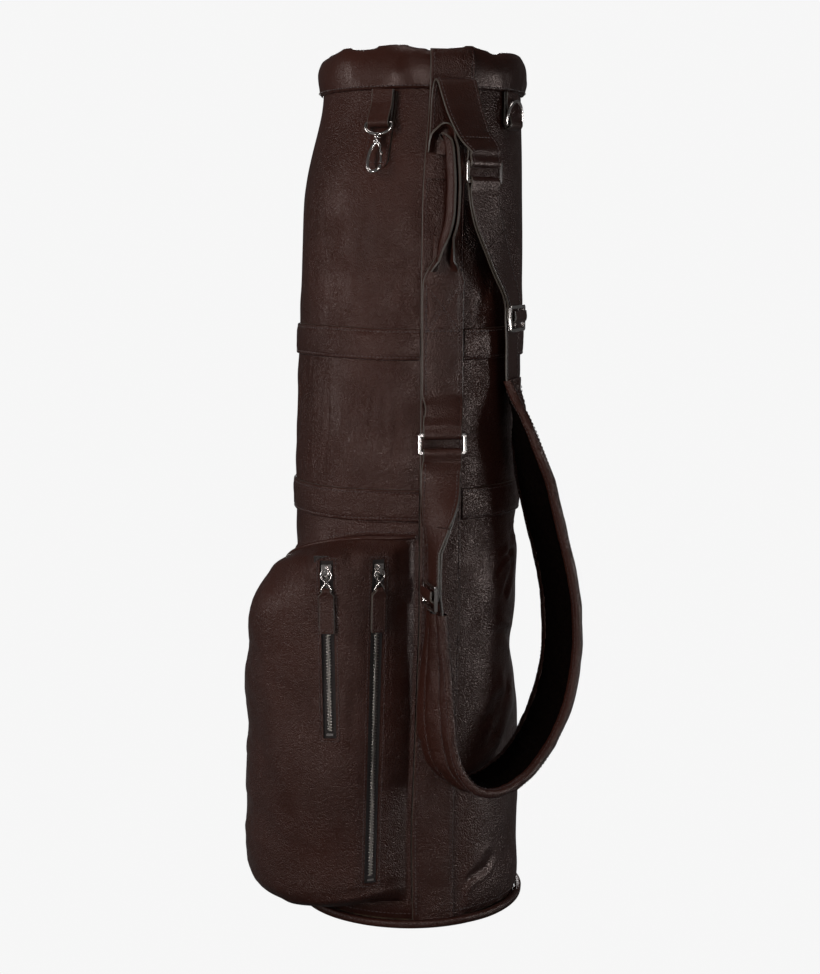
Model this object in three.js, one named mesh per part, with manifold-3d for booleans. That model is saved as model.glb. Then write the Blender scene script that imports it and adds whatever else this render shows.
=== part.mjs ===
// Leather golf staff bag: a tall round tube with a ball pocket, shoulder strap, carry handle and towel clip.
// Millimetres, +Z up. The origin is the centre of the face that the bag stands on.
// The stitched spine faces -Y, and the ball pocket is on the -X side.
import * as THREE from 'three';
import { mergeVertices } from 'three/addons/utils/BufferGeometryUtils.js';
import Module from 'manifold-3d';

const wasm = await Module();
wasm.setup();

// Driving dimensions
const BAG_HEIGHT = 880;
const SIDES = 40;
const FIT_GAP = 0.3;
const SHELL_LEATHER = 2.4;
const TRIM_LEATHER = 2.2;
const LINING = 1.2;

const PIPING_RADIUS = 119.5;
const PIPING_TOP = 9;
const CUFF_BOTTOM = 836;
const CUFF_MOUTH_RADIUS = 92.5;

const SPINE_WIDTH = 43;
const BAND_UPPER = [578, 609];
const BAND_LOWER = [418, 450];

const POCKET_DEPTH = 60;
const POCKET_ARC = 232;
const POCKET_FLANGE = 12;
const POCKET_NEAR_FLANGE = 4;
const POCKET_LEATHER = 2.5;

const ZIP_SLOT_WIDTH = 13;
const ZIP_TAPE_WIDTH = 25;
const ZIP_CHAIN_WIDTH = 5.8;
const ZIP_SHORT = { topArc: 67, bottomArc: 62, top: 383, bottom: 213 };
const ZIP_LONG = { topArc: 33, bottomArc: 33, top: 383, bottom: 61 };
const PULL_TAB_WIDTH = 15;
const PULL_TAB_LENGTH = 42;

const STRAP_WIDTH = 38;
const STRAP_LEATHER = 2;
const PAD_WIDTH = 62;
const RING_WIDTH = 48;
const RING_HEIGHT = 21;
const RING_BAR = 3.6;
const SLIDER_HEIGHT = 26;
const SLIDER_BAR = 3.4;
const SLIDER_STANDOFF = 6.2;

const CLIP_ANGLE = -37;
const DRING_ANGLE = 41;
const TAB_WIDTH = 22;
const TAB_BAR_HEIGHT = 806;

// Materials
const leather = { color: 0x2a1511, roughness: 0.55, metalness: 0 };
const fleece = { color: 0x15100f, roughness: 0.95, metalness: 0 };
const nickel = { color: 0xc9c4c0, roughness: 0.18, metalness: 1 };
const zipCloth = { color: 0x1a100d, roughness: 0.9, metalness: 0 };
const liningCloth = { color: 0x2b2522, roughness: 0.9, metalness: 0 };
const foam = { color: 0x4a4744, roughness: 1, metalness: 0 };
const board = { color: 0x6b543d, roughness: 0.8, metalness: 0 };
const steel = { color: 0x8a8a8c, roughness: 0.35, metalness: 1 };

const bag = new THREE.Group();

function addPart(name, geometry, look, parent = bag) {
  const mesh = new THREE.Mesh(geometry, new THREE.MeshStandardMaterial(look));
  mesh.name = name;
  parent.add(mesh);
  return mesh;
}

// ---------------------------------------------------------------- helpers

const radians = THREE.MathUtils.degToRad;
const clamp = THREE.MathUtils.clamp;

// Straight-line interpolation in a table whose first column is the position
function lookUp(table, position, column = 1) {
  const last = table.length - 1;
  const at = clamp(position, table[0][0], table[last][0]);
  let i = 0;
  while (i < last - 1 && at > table[i + 1][0]) i += 1;
  const t = (at - table[i][0]) / (table[i + 1][0] - table[i][0]);
  return THREE.MathUtils.lerp(table[i][column], table[i + 1][column], t);
}

// Sum of signed tetrahedra: positive when the faces point out
function signedVolume(positions, index) {
  const [a, b, c] = [new THREE.Vector3(), new THREE.Vector3(), new THREE.Vector3()];
  let total = 0;
  for (let i = 0; i < index.length; i += 3) {
    a.fromArray(positions, index[i] * 3);
    b.fromArray(positions, index[i + 1] * 3);
    c.fromArray(positions, index[i + 2] * 3);
    total += a.dot(b.cross(c)) / 6;
  }
  return total;
}

// Triangles that fill a flat contour, each running the same way round as the contour
function fillFaces(contour) {
  const points = contour.map(([x, y]) => new THREE.Vector2(x, y));
  const ccw = THREE.ShapeUtils.area(points) > 0;
  return THREE.ShapeUtils.triangulateShape(points, []).map((face) => {
    const faceCcw = THREE.ShapeUtils.area(face.map((k) => points[k])) > 0;
    return faceCcw === ccw ? face : [face[0], face[2], face[1]];
  });
}

// Triangles that fill a wall's outline, which runs up one side and back down the other
function ladderFaces(count) {
  return Array.from({ length: count / 2 - 1 }, (_, i) => [
    [i, i + 1, count - 2 - i],
    [i, count - 2 - i, count - 1 - i],
  ]).flat();
}

// Triangles that fill a round outline
const fanFaces = (count) => Array.from({ length: count - 2 }, (_, i) => [0, i + 1, i + 2]);

// Closed body over a row of matching outlines. Without cap faces the last outline joins the first.
function skin(outlines, capFaces) {
  const rows = outlines.length;
  const count = outlines[0].length;
  const positions = outlines.flat().flatMap((p) => [p.x, p.y, p.z]);
  const index = [];
  const steps = capFaces ? rows - 1 : rows;
  for (let i = 0; i < steps; i += 1) {
    for (let j = 0; j < count; j += 1) {
      const here = i * count;
      const next = ((i + 1) % rows) * count;
      const k = (j + 1) % count;
      index.push(here + j, here + k, next + k, here + j, next + k, next + j);
    }
  }
  const lastRow = (rows - 1) * count;
  for (const [a, b, c] of capFaces ?? []) {
    index.push(a, c, b, lastRow + a, lastRow + b, lastRow + c);
  }
  if (signedVolume(positions, index) < 0) {
    for (let i = 0; i < index.length; i += 3) {
      [index[i + 1], index[i + 2]] = [index[i + 2], index[i + 1]];
    }
  }
  const geometry = new THREE.BufferGeometry();
  geometry.setAttribute('position', new THREE.Float32BufferAttribute(positions, 3));
  geometry.setIndex(index);
  return geometry;
}

function toManifold(geometry) {
  const bare = geometry.clone();
  bare.deleteAttribute('normal');
  bare.deleteAttribute('uv');
  const welded = mergeVertices(bare, 1e-4);
  const vertProperties = new Float32Array(welded.attributes.position.array);
  const triVerts = new Uint32Array(welded.index.array);
  return new wasm.Manifold(new wasm.Mesh({ numProp: 3, vertProperties, triVerts }));
}

function fromManifold(body) {
  const mesh = body.getMesh();
  const geometry = new THREE.BufferGeometry();
  geometry.setAttribute('position', new THREE.Float32BufferAttribute(mesh.vertProperties, 3));
  geometry.setIndex(Array.from(mesh.triVerts));
  return geometry;
}

const joined = (geometries) => fromManifold(geometries.map(toManifold).reduce((a, b) => a.add(b)));

function cut(geometry, tools) {
  return fromManifold(tools.map(toManifold).reduce((a, b) => a.subtract(b), toManifold(geometry)));
}

function box(sizeX, sizeY, sizeZ, x, y, z) {
  return new THREE.BoxGeometry(sizeX, sizeY, sizeZ).translate(x, y, z);
}

// Flat plate from a closed list of points, from z = 0 up to its thickness
function plate(points, thickness, holes = []) {
  const shape = new THREE.Shape(points.map(([x, y]) => new THREE.Vector2(x, y)));
  for (const hole of holes) {
    shape.holes.push(new THREE.Path(hole.map(([x, y]) => new THREE.Vector2(x, y))));
  }
  return new THREE.ExtrudeGeometry(shape, { depth: thickness, bevelEnabled: false });
}

function rectangle(width, height, x = 0, y = 0) {
  return [
    [x - width / 2, y - height / 2],
    [x + width / 2, y - height / 2],
    [x + width / 2, y + height / 2],
    [x - width / 2, y + height / 2],
  ];
}

// Rectangle with its corners cut at 45 degrees
function chamfered(width, height, corner) {
  const [w, h] = [width / 2, height / 2];
  return [
    [-w + corner, -h], [w - corner, -h], [w, -h + corner], [w, h - corner],
    [w - corner, h], [-w + corner, h], [-w, h - corner], [-w, -h + corner],
  ];
}

// Round wire along points that lie in the plane with the given normal
function wire(points, radius, normal, looped, sides = 8) {
  const count = points.length;
  const outlines = points.map((point, i) => {
    const before = points[looped ? (i - 1 + count) % count : Math.max(i - 1, 0)];
    const after = points[looped ? (i + 1) % count : Math.min(i + 1, count - 1)];
    const along = after.clone().sub(before).normalize();
    const across = along.clone().cross(normal);
    return Array.from({ length: sides }, (_, k) => {
      const turn = (2 * Math.PI * k) / sides;
      return point.clone()
        .addScaledVector(normal, radius * Math.cos(turn))
        .addScaledVector(across, radius * Math.sin(turn));
    });
  });
  return skin(outlines, looped ? null : fanFaces(sides));
}

// Strip along stations [x, y, z, width angle]; sectionAt(t) gives its closed (across, outward) outline.
// Outward is the side that the cross product of travel and width points to.
function strip(stations, sectionAt, samples, capFaces) {
  const curve = new THREE.CatmullRomCurve3(
    stations.map(([x, y, z]) => new THREE.Vector3(x, y, z)), false, 'centripetal');
  const outlines = [];
  for (let k = 0; k <= samples; k += 1) {
    const t = k / samples;
    const at = Math.min(t * (stations.length - 1), stations.length - 1.0001);
    const i = Math.floor(at);
    const angle = radians(THREE.MathUtils.lerp(stations[i][3], stations[i + 1][3], at - i));
    const centre = curve.getPoint(t);
    const along = curve.getTangent(t);
    const outward = along.clone().cross(new THREE.Vector3(Math.cos(angle), Math.sin(angle), 0)).normalize();
    const across = outward.clone().cross(along);
    outlines.push(sectionAt(t).map(([a, b]) => centre.clone()
      .addScaledVector(across, a)
      .addScaledVector(outward, b)));
  }
  return skin(outlines, capFaces ?? fillFaces(sectionAt(0)));
}

const flatSection = (width, thickness) => () => rectangle(width, thickness);

// ---------------------------------------------------------------- tube shape

// Height, sideways lean of the centre line, and radius: the soft tube leans a little towards +X
// near the mouth, and narrows below the cuff
const TUBE = [
  [0, 0, 114.5], [250, -3, 114.7], [436, -4, 114.8], [530, -2, 114.9], [633, 1, 113.6], [735, 3, 112],
  [762, 5.3, 109.8], [785, 8, 107], [806, 10.6, 103.9], [825, 12.5, 101.5], [848, 13.2, 100.4], [880, 13.5, 100],
];
// Height and outer radius of the cuff
const CUFF = [[836, 103], [842, 105.2], [854, 106.2], [866, 105.4], [874, 103], [880, 97]];
// Height and sideways shift of the spine's middle from the tube's centre line
const SPINE = [[0, -8], [100, -8.3], [223, -2.3], [315, 1.4], [436, 2.5], [530, 1.3], [633, -1], [785, -1], [880, 0]];

const leanAt = (z) => lookUp(TUBE, z);
const bodyRadius = (z) => lookUp(TUBE, z, 2);
const cuffRadius = (z) => lookUp(CUFF, z);

// Point at a polar angle in degrees, measured from -Y towards +X about the leaning centre line
function polar(angle, radius, z) {
  const turn = radians(angle);
  return new THREE.Vector3(leanAt(z) + radius * Math.sin(turn), -radius * Math.cos(turn), z);
}

// Outer radius that the spine strip lies on: the body, then the cuff
function underSpine(z) {
  const step = clamp((z - 825) / (CUFF_BOTTOM - 825), 0, 1);
  return THREE.MathUtils.lerp(bodyRadius(z), cuffRadius(z), step);
}

const degrees = THREE.MathUtils.radToDeg;
const spineAngle = (z) => degrees(Math.asin(lookUp(SPINE, z) / bodyRadius(z)));
const spineHalfAngle = (z) => degrees(SPINE_WIDTH / 2 / bodyRadius(z));
const spineFace = (z) => underSpine(z) + FIT_GAP + TRIM_LEATHER;

// Ring or part-ring: section is a closed list of [radius, z]; the angles may depend on height
function turned(section, fromAngle, toAngle, steps) {
  const looped = fromAngle === null;
  const count = looped ? steps : steps + 1;
  const outlines = Array.from({ length: count }, (_, i) => section.map(([radius, z]) => {
    const angle = looped
      ? (360 * i) / steps
      : THREE.MathUtils.lerp(fromAngle(z), toAngle(z), i / steps);
    return polar(angle, radius, z);
  }));
  return skin(outlines, looped ? null : ladderFaces(section.length));
}

const fullRing = (section, steps = SIDES) => turned(section, null, null, steps);

// Closed [radius, z] outline of a wall between two radius functions
function wallSection(heights, outer, inner) {
  return [...heights.map((z) => [outer(z), z]), ...[...heights].reverse().map((z) => [inner(z), z])];
}

// ---------------------------------------------------------------- tube parts

function buildBase() {
  const pipingInner = 113;
  const middle = PIPING_TOP / 2;
  addPart('base_piping', fullRing([
    [pipingInner, 0.5], [PIPING_RADIUS - 3, 0.5], [PIPING_RADIUS - 0.8, 2], [PIPING_RADIUS, middle],
    [PIPING_RADIUS - 0.8, PIPING_TOP - 2], [PIPING_RADIUS - 3, PIPING_TOP], [pipingInner, PIPING_TOP],
  ]), leather);
  const panel = new THREE.CylinderGeometry(pipingInner - 0.4, pipingInner - 0.4, 3, SIDES);
  addPart('base_leather', panel.rotateX(Math.PI / 2).translate(0, 0, 1.5), leather);
  const disc = new THREE.CylinderGeometry(108.5, 108.5, 6, SIDES);
  addPart('base_board', disc.rotateX(Math.PI / 2).translate(0, 0, 6.3 + FIT_GAP), board);
}

function buildTube() {
  const bodyHeights = [PIPING_TOP + FIT_GAP, 250, 436, 530, 633, 735, 762, 785, 806, 825, 848];
  const outer = (z) => bodyRadius(z);
  const inner = (z) => bodyRadius(z) - SHELL_LEATHER;
  addPart('body_shell', fullRing(wallSection(bodyHeights, outer, inner)), leather);
  const liningHeights = [12, 436, 633, 735, 785, 825, 846];
  const liningOuter = (z) => bodyRadius(z) - SHELL_LEATHER - 2;
  const liningInner = (z) => liningOuter(z) - LINING;
  addPart('body_lining', fullRing(wallSection(liningHeights, liningOuter, liningInner)), liningCloth);
}

function buildSpine() {
  const heights = [
    PIPING_TOP + FIT_GAP, 100, 223, 315, 436, 530, 633, 735, 762, 785, 806, 825, 836, 842, 854, 866, 874, 876,
  ];
  const inner = (z) => underSpine(z) + FIT_GAP;
  addPart('spine_strip', turned(
    wallSection(heights, spineFace, inner),
    (z) => spineAngle(z) - spineHalfAngle(z),
    (z) => spineAngle(z) + spineHalfAngle(z), 5), leather);
  addPart('spine_stay', box(28, 4, 700, -1, -99, 370), board);
}

function buildBands() {
  const bandGap = 0.8;
  const start = (z) => spineAngle(z) + spineHalfAngle(z) + 0.4;
  const end = (z) => spineAngle(z) - spineHalfAngle(z) + 359.6;
  for (const [name, [low, high]] of [['band_upper', BAND_UPPER], ['band_lower', BAND_LOWER]]) {
    const inner = (z) => bodyRadius(z) + bandGap;
    const outer = (z) => inner(z) + TRIM_LEATHER;
    addPart(name, turned(wallSection([low, high], outer, inner), start, end, SIDES - 4), leather);
  }
  for (const [name, [low, high]] of [['hoop_upper', BAND_UPPER], ['hoop_lower', BAND_LOWER]]) {
    const outer = () => 107.6;
    const inner = () => 105.6;
    addPart(name, fullRing(wallSection([low + 5, high - 5], outer, inner), 32), steel);
  }
}

function buildCuff() {
  const mouth = CUFF_MOUTH_RADIUS;
  const wall = TRIM_LEATHER;
  addPart('top_cuff', fullRing([
    ...CUFF.map(([z, radius]) => [radius, z]), [mouth, 872], [mouth, 840],
    [mouth + wall, 840], [mouth + wall, 871], [97, 877.2], [101, 872.6], [103.2, 865.5], [104, 854], [101, 837.5],
  ]), leather);
  addPart('cuff_padding', fullRing([
    [95.4, 857], [102.8, 857], [102, 864.5], [100.2, 871], [97.2, 875], [95.4, 869.5],
  ], 32), foam);
  const hoopSides = 8;
  const hoop = Array.from({ length: hoopSides }, (_, k) => {
    const turn = (2 * Math.PI * (k + 0.5)) / hoopSides;
    return [99 + 2.6 * Math.cos(turn), 853 + 2.6 * Math.sin(turn)];
  });
  addPart('rim_hoop', fullRing(hoop, 32), steel);
}

function buildDivider() {
  const length = 2 * (CUFF_MOUTH_RADIUS - 1.5);
  const bar = new THREE.CapsuleGeometry(7, length - 14, 4, 14);
  bar.scale(0.75, 1, 1.25);
  addPart('divider_bar', bar.rotateZ(Math.PI / 2).translate(leanAt(860), 0, 858), leather);
}

// ---------------------------------------------------------------- ball pocket

const POCKET_TOP = 418;
const POCKET_BOTTOM = [[0, 36], [30, 34], [75, 28], [98, 21], [125, 13], [150, 11], [POCKET_ARC, 11]];
const POCKET_GAP = 0.9;
const POCKET_CORNER = 60;

// How far the far corners pull in at an arc distance from the spine's edge
function cornerDrop(arc) {
  const reach = clamp((arc - (POCKET_ARC - POCKET_CORNER)) / POCKET_CORNER, 0, 1);
  return POCKET_CORNER * (1 - Math.sqrt(1 - reach * reach));
}

const pocketTop = (arc) => POCKET_TOP - 52 * (Math.max(arc - 45, 0) / 145) ** 1.6 - cornerDrop(arc);
const pocketBottom = (arc) => lookUp(POCKET_BOTTOM, arc) + cornerDrop(arc);

// Quarter-circle rise from 0 to 1
function rounded(distance, reach) {
  const left = 1 - clamp(distance / reach, 0, 1);
  return Math.sqrt(1 - left * left);
}

// Height of the pocket's pillow above its flange; inset gives the inside face
function pillow(arc, z, inset) {
  const spread = Math.min(arc / 190, 1) ** 3;
  const near = Math.sin((Math.PI / 2) * clamp((arc - POCKET_NEAR_FLANGE - inset) / 100, 0, 1));
  const far = rounded(POCKET_ARC - arc - POCKET_FLANGE - inset, 85);
  const top = rounded(pocketTop(arc) - z - POCKET_FLANGE - inset, 22 + 68 * spread);
  const bottom = rounded(z - pocketBottom(arc) - POCKET_FLANGE - inset, 22 + 38 * spread);
  return POCKET_DEPTH * near * far * top * bottom;
}

const pocketEdgeAngle = (z) => spineAngle(z) - spineHalfAngle(z) - 0.5;

function pocketPoint(arc, z, inside) {
  const angle = pocketEdgeAngle(z) - degrees(arc / 115);
  const lift = inside
    ? pillow(arc, z, POCKET_LEATHER)
    : POCKET_LEATHER + pillow(arc, z, 0);
  return polar(angle, bodyRadius(z) + POCKET_GAP + lift, z);
}

function pocketShellGeometry() {
  const arcs = [0, 4, 7, 14, 25, 38, 52, 66, 82, 100, 120, 142, 162, 180, 195, 206, 213, 217.5, 220, POCKET_ARC];
  const low = [0, 12, 14.5, 19, 26, 36, 50, 72];
  const high = [96, 70, 50, 36, 26, 19, 14.5, 12, 0];
  const column = (arc, inside) => {
    const [bottom, top] = [pocketBottom(arc), pocketTop(arc)];
    const middle = [1 / 3, 2 / 3].map((t) => THREE.MathUtils.lerp(bottom + 72, top - 96, t));
    const heights = [...low.map((d) => bottom + d), ...middle, ...high.map((d) => top - d)];
    return heights.map((z) => pocketPoint(arc, z, inside));
  };
  const outlines = arcs.map((arc) => [...column(arc, false), ...column(arc, true).reverse()]);
  return skin(outlines, ladderFaces(outlines[0].length));
}

// Frame of a zip: X to the right, Y up along the teeth, Z out of the leather, origin at the slot's top
function zipFrame(zip) {
  const top = pocketPoint(zip.topArc, zip.top, false);
  const bottom = pocketPoint(zip.bottomArc, zip.bottom, false);
  const middleArc = (zip.topArc + zip.bottomArc) / 2;
  const middleZ = (zip.top + zip.bottom) / 2;
  const right = pocketPoint(middleArc - 6, middleZ, false).sub(pocketPoint(middleArc + 6, middleZ, false));
  const up = top.clone().sub(bottom).normalize();
  const out = right.cross(up).normalize();
  const across = up.clone().cross(out);
  const group = new THREE.Group();
  group.applyMatrix4(new THREE.Matrix4().makeBasis(across, up, out).setPosition(top));
  group.updateMatrixWorld();
  return { group, length: top.distanceTo(bottom) };
}

// Slot through the leather, and the shallow recess behind it that the tape lies in
function zipCutters({ group, length }) {
  const slot = box(ZIP_SLOT_WIDTH, length + 8, 40, 0, -length / 2 - 1, 0);
  const recess = box(ZIP_TAPE_WIDTH + 0.8, length + 16, 20, 0, -length / 2, -12.2);
  return [slot.applyMatrix4(group.matrixWorld), recess.applyMatrix4(group.matrixWorld)];
}

function buildPocket(zips) {
  const shell = cut(pocketShellGeometry(), zips.flatMap(zipCutters));
  addPart('pocket_shell', shell, leather);
  const rows = 22;
  const arcs = Array.from({ length: rows + 1 }, (_, i) => 6 + ((POCKET_ARC - 26) * i) / rows);
  const path = arcs.map((arc) => pocketPoint(arc, pocketTop(arc) - 6, false));
  const outlines = path.map((point, i) => {
    const before = path[Math.max(i - 1, 0)];
    const after = path[Math.min(i + 1, rows)];
    const along = after.clone().sub(before).normalize();
    const out = new THREE.Vector3(point.x - leanAt(point.z), point.y, 0).normalize();
    const across = out.clone().cross(along).normalize();
    const centre = point.clone().addScaledVector(out, 2.2);
    return Array.from({ length: 6 }, (_, k) => centre.clone()
      .addScaledVector(out, 1.8 * Math.sin((Math.PI * k) / 3))
      .addScaledVector(across, 1.8 * Math.cos((Math.PI * k) / 3)));
  });
  addPart('pocket_piping', skin(outlines, fanFaces(6)), leather);
}

// ---------------------------------------------------------------- zips

const TAPE_TOP = -2.5;
const SLIDER_Y = -6;
const PULL_Z = 3.3;
const PULL_RING = 5.6;
const PULL_WIRE = 0.95;
const PULL_BAR_Y = SLIDER_Y - 2 * PULL_RING - 9.3;

// U-shaped body that straddles the teeth, with an arched bridge for the pull
function zipSliderGeometry() {
  const channel = [
    [-4.75, -2.1], [-3.3, -2.1], [-3.3, -0.05], [3.3, -0.05], [3.3, -2.1],
    [4.75, -2.1], [4.75, 1.5], [-4.75, 1.5],
  ];
  const bodyLength = 11;
  const body = plate(channel, bodyLength).rotateX(Math.PI / 2).translate(0, SLIDER_Y + bodyLength / 2, 0);
  const arch = plate(
    [[-4, 1.2], [4, 1.2], [4, 4.6], [2.6, 6], [-2.6, 6], [-4, 4.6]], 2.4,
    [[[-2.3, 1.9], [2.3, 1.9], [2.3, 4.1], [1.6, 4.8], [-1.6, 4.8], [-2.3, 4.1]]]);
  const turn = new THREE.Matrix4().makeBasis(
    new THREE.Vector3(0, 1, 0), new THREE.Vector3(0, 0, 1), new THREE.Vector3(1, 0, 0));
  return joined([body, arch.applyMatrix4(turn).translate(-1.2, SLIDER_Y, 0)]);
}

// Wire pull: a round loop in the bridge above a triangle that holds the leather tab
function zipPullGeometry() {
  const loop = new THREE.TorusGeometry(PULL_RING, PULL_WIRE, 6, 14);
  const triangle = new THREE.TorusGeometry(6.2, PULL_WIRE, 6, 3).rotateZ(Math.PI / 2);
  return joined([
    loop.translate(0, SLIDER_Y - PULL_RING, PULL_Z),
    triangle.translate(0, PULL_BAR_Y + 3.1, PULL_Z),
  ]);
}

// Leather tab folded over the triangle's lower bar, wider below the fold
function zipTabGeometry() {
  const thickness = 1.3;
  const fold = PULL_WIRE + 1.2 + thickness / 2;
  const end = PULL_BAR_Y - PULL_TAB_LENGTH;
  const stations = [
    [0, end, PULL_Z - 0.8, 0],
    [0, PULL_BAR_Y - 9, PULL_Z - 0.8, 0],
    [0, PULL_BAR_Y - 5, PULL_Z - 1.1, 0],
    [0, PULL_BAR_Y, PULL_Z - fold, 0],
    [0, PULL_BAR_Y + fold, PULL_Z, 0],
    [0, PULL_BAR_Y, PULL_Z + fold, 0],
    [0, PULL_BAR_Y - 5, PULL_Z + 1.1, 0],
    [0, PULL_BAR_Y - 9, PULL_Z + 0.8, 0],
    [0, end, PULL_Z + 0.8, 0],
  ];
  const foldWidth = 4.6;
  const widthAt = (t) => {
    const fromFold = Math.abs(t - 0.5);
    return THREE.MathUtils.lerp(foldWidth, PULL_TAB_WIDTH, clamp((fromFold - 0.14) / 0.14, 0, 1));
  };
  return strip(stations, (t) => rectangle(widthAt(t), thickness), 24);
}

function buildZip(name, zip) {
  const { group, length } = zip;
  bag.add(group);
  addPart(`${name}_tape`, box(ZIP_TAPE_WIDTH, length + 14, 0.9, 0, -length / 2, TAPE_TOP - 0.45), zipCloth, group);
  const chain = box(ZIP_CHAIN_WIDTH, length - 1, 1.8, 0, -length / 2 + 0.5, TAPE_TOP + FIT_GAP + 0.9);
  addPart(`${name}_teeth`, chain, steel, group);
  addPart(`${name}_stop`, box(7, 2.4, 2.4, 0, -length - 1, TAPE_TOP + FIT_GAP + 1.2), nickel, group);
  addPart(`${name}_slider`, zipSliderGeometry(), nickel, group);
  addPart(`${name}_pull`, zipPullGeometry(), nickel, group);
  addPart(`${name}_tab`, zipTabGeometry(), leather, group);
}

// ---------------------------------------------------------------- towel clip and D-ring

// Leather loop hanging from the cuff round a bar: two layers with a fold under the bar
function hangingTab(lift, barRadius) {
  const half = TRIM_LEATHER / 2;
  const fold = barRadius + 0.8 + half;
  const surface = (z) => bodyRadius(z) + lift + half;
  const back = surface(TAB_BAR_HEIGHT);
  return {
    barRadialPosition: back + fold,
    stations: (place) => [
      place(surface(834), 834),
      place(surface(822), 822),
      place(back, TAB_BAR_HEIGHT),
      place(back + fold, TAB_BAR_HEIGHT - fold),
      place(back + 2 * fold, TAB_BAR_HEIGHT),
      place(surface(822) + TRIM_LEATHER + 0.5, 822),
      place(surface(834) + TRIM_LEATHER + 0.3, 834),
    ],
  };
}

function addHangingTab(name, angle, lift, barRadius) {
  const tab = hangingTab(lift, barRadius);
  const place = (radius, z) => [...polar(angle, radius, z).toArray(), angle];
  addPart(name, strip(tab.stations(place), flatSection(TAB_WIDTH, TRIM_LEATHER), 24), leather);
  return tab.barRadialPosition;
}

// Group whose origin is on a bar: X along the bar, -Y out of the bag, Z up
function barGroup(angle, radius) {
  const group = new THREE.Group();
  group.position.copy(polar(angle, radius, TAB_BAR_HEIGHT));
  group.rotation.z = radians(angle);
  bag.add(group);
  return group;
}

// Points of a D: a straight bar through the origin and a half-round bow on the given side
function bowPoints(halfBar, depth, side) {
  const bow = Array.from({ length: 15 }, (_, i) => {
    const turn = Math.PI * (i / 14);
    const x = halfBar * Math.cos(turn);
    return new THREE.Vector3(x, 0, side * (1.5 + (depth - 1.5) * Math.sin(turn)));
  });
  const bar = [-0.8, -0.3, 0.3, 0.8].map((x) => new THREE.Vector3(x * halfBar, 0, 0));
  return [...bow, ...bar];
}

const outOfBag = new THREE.Vector3(0, -1, 0);

function buildTowelClip() {
  const backing = wallSection([764, 785, 806, 820, 833.5], (z) => bodyRadius(z) + FIT_GAP + 1.6, (z) => bodyRadius(z) + FIT_GAP);
  addPart('clip_backing', turned(backing, () => CLIP_ANGLE - 7, () => CLIP_ANGLE + 7, 4), leather);
  const wireRadius = 1.6;
  const radius = addHangingTab('clip_tab', CLIP_ANGLE, 2.9, wireRadius);
  const group = barGroup(CLIP_ANGLE, radius);
  const swing = new THREE.Group();
  swing.rotation.x = radians(-19);
  group.add(swing);
  const bow = wire(bowPoints(14, 11.5, -1), wireRadius, outOfBag, true);
  const boss = new THREE.CylinderGeometry(2.8, 2.8, 4, 12).rotateX(Math.PI / 2).translate(0, 0, -13.2);
  addPart('clip_eye', joined([bow, boss]), nickel, swing);
  addPart('clip_hook', clipHookGeometry(), nickel, swing);
  addPart('clip_gate', clipGateGeometry(), nickel, swing);
}

const HOOK_PIVOT = [4.2, -25];
const HOOK_TIP = [6.9, -43.5];

function clipHookGeometry() {
  const swivel = new THREE.CylinderGeometry(3.4, 2.6, 5, 12).rotateX(Math.PI / 2).translate(0, 0, -18);
  const shank = box(9.5, 4, 4.6, 0, 0, -21.6);
  const path = new THREE.CatmullRomCurve3([
    [-3.3, -21], [-4.8, -30], [-6.3, -40], [-6, -45.5], [-3.2, -49], [0, -50], [3.4, -49], [6.2, -46], [6.9, -44.2],
  ].map(([x, z]) => new THREE.Vector3(x, 0, z)));
  const bow = wire(path.getPoints(20), 1.6, outOfBag, false);
  return joined([swivel, shank, bow]);
}

function clipGateGeometry() {
  const [startX, startZ] = HOOK_PIVOT;
  const [endX, endZ] = HOOK_TIP;
  const points = [0, 0.5, 1].map((t) => new THREE.Vector3(
    THREE.MathUtils.lerp(startX, endX, t), 0, THREE.MathUtils.lerp(startZ, endZ, t)));
  return wire(points, 1.25, outOfBag, false);
}

function buildDRing() {
  const wireRadius = 1.7;
  const radius = addHangingTab('dring_tab', DRING_ANGLE, 0.9, wireRadius);
  const group = barGroup(DRING_ANGLE, radius);
  const swing = new THREE.Group();
  swing.rotation.x = radians(9.5);
  group.add(swing);
  addPart('d_ring', wire(bowPoints(14.8, 23.5, 1), wireRadius, outOfBag, true), nickel, swing);
}

// ---------------------------------------------------------------- shoulder strap

const UPPER_RING = { centre: [35, -134, 758], angle: 27 };
const LOWER_RING = { centre: [-4, -128, 497], angle: -8 };
const BAR_DROP = (RING_HEIGHT - RING_BAR) / 2;

// Placing matrix: X along the width angle, Z outward, Y up
function facing(centre, angle) {
  const turn = radians(angle);
  const across = new THREE.Vector3(Math.cos(turn), Math.sin(turn), 0);
  const out = new THREE.Vector3(Math.sin(turn), -Math.cos(turn), 0);
  return new THREE.Matrix4()
    .makeBasis(across, new THREE.Vector3(0, 0, 1), out)
    .setPosition(new THREE.Vector3(...centre));
}

function ringGeometry() {
  const inner = rectangle(RING_WIDTH - 2 * RING_BAR, RING_HEIGHT - 2 * RING_BAR);
  const outer = chamfered(RING_WIDTH, RING_HEIGHT, 1.6);
  return plate(outer, RING_BAR, [inner]).translate(0, 0, -RING_BAR / 2);
}

// Leather folded round one of a ring's bars, as [outward, up] steps from the bar's centre
function ringFold(ring, side, layerGap, legLength) {
  const fold = RING_BAR / 2 + 1.55 + STRAP_LEATHER / 2;
  const turn = radians(ring.angle);
  const barZ = ring.centre[2] + side * BAR_DROP;
  const steps = [
    [layerGap, side * legLength], [layerGap + 0.3, side * (fold + 3)], [fold, 0],
    [0, -side * fold], [-fold, 0], [-layerGap - 0.3, side * (fold + 3)], [-layerGap, side * legLength],
  ];
  return steps.map(([out, up]) => [
    ring.centre[0] + out * Math.sin(turn),
    ring.centre[1] - out * Math.cos(turn),
    barZ + up,
    ring.angle,
  ]);
}

const FOLD_LAYER = 1.5;

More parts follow.
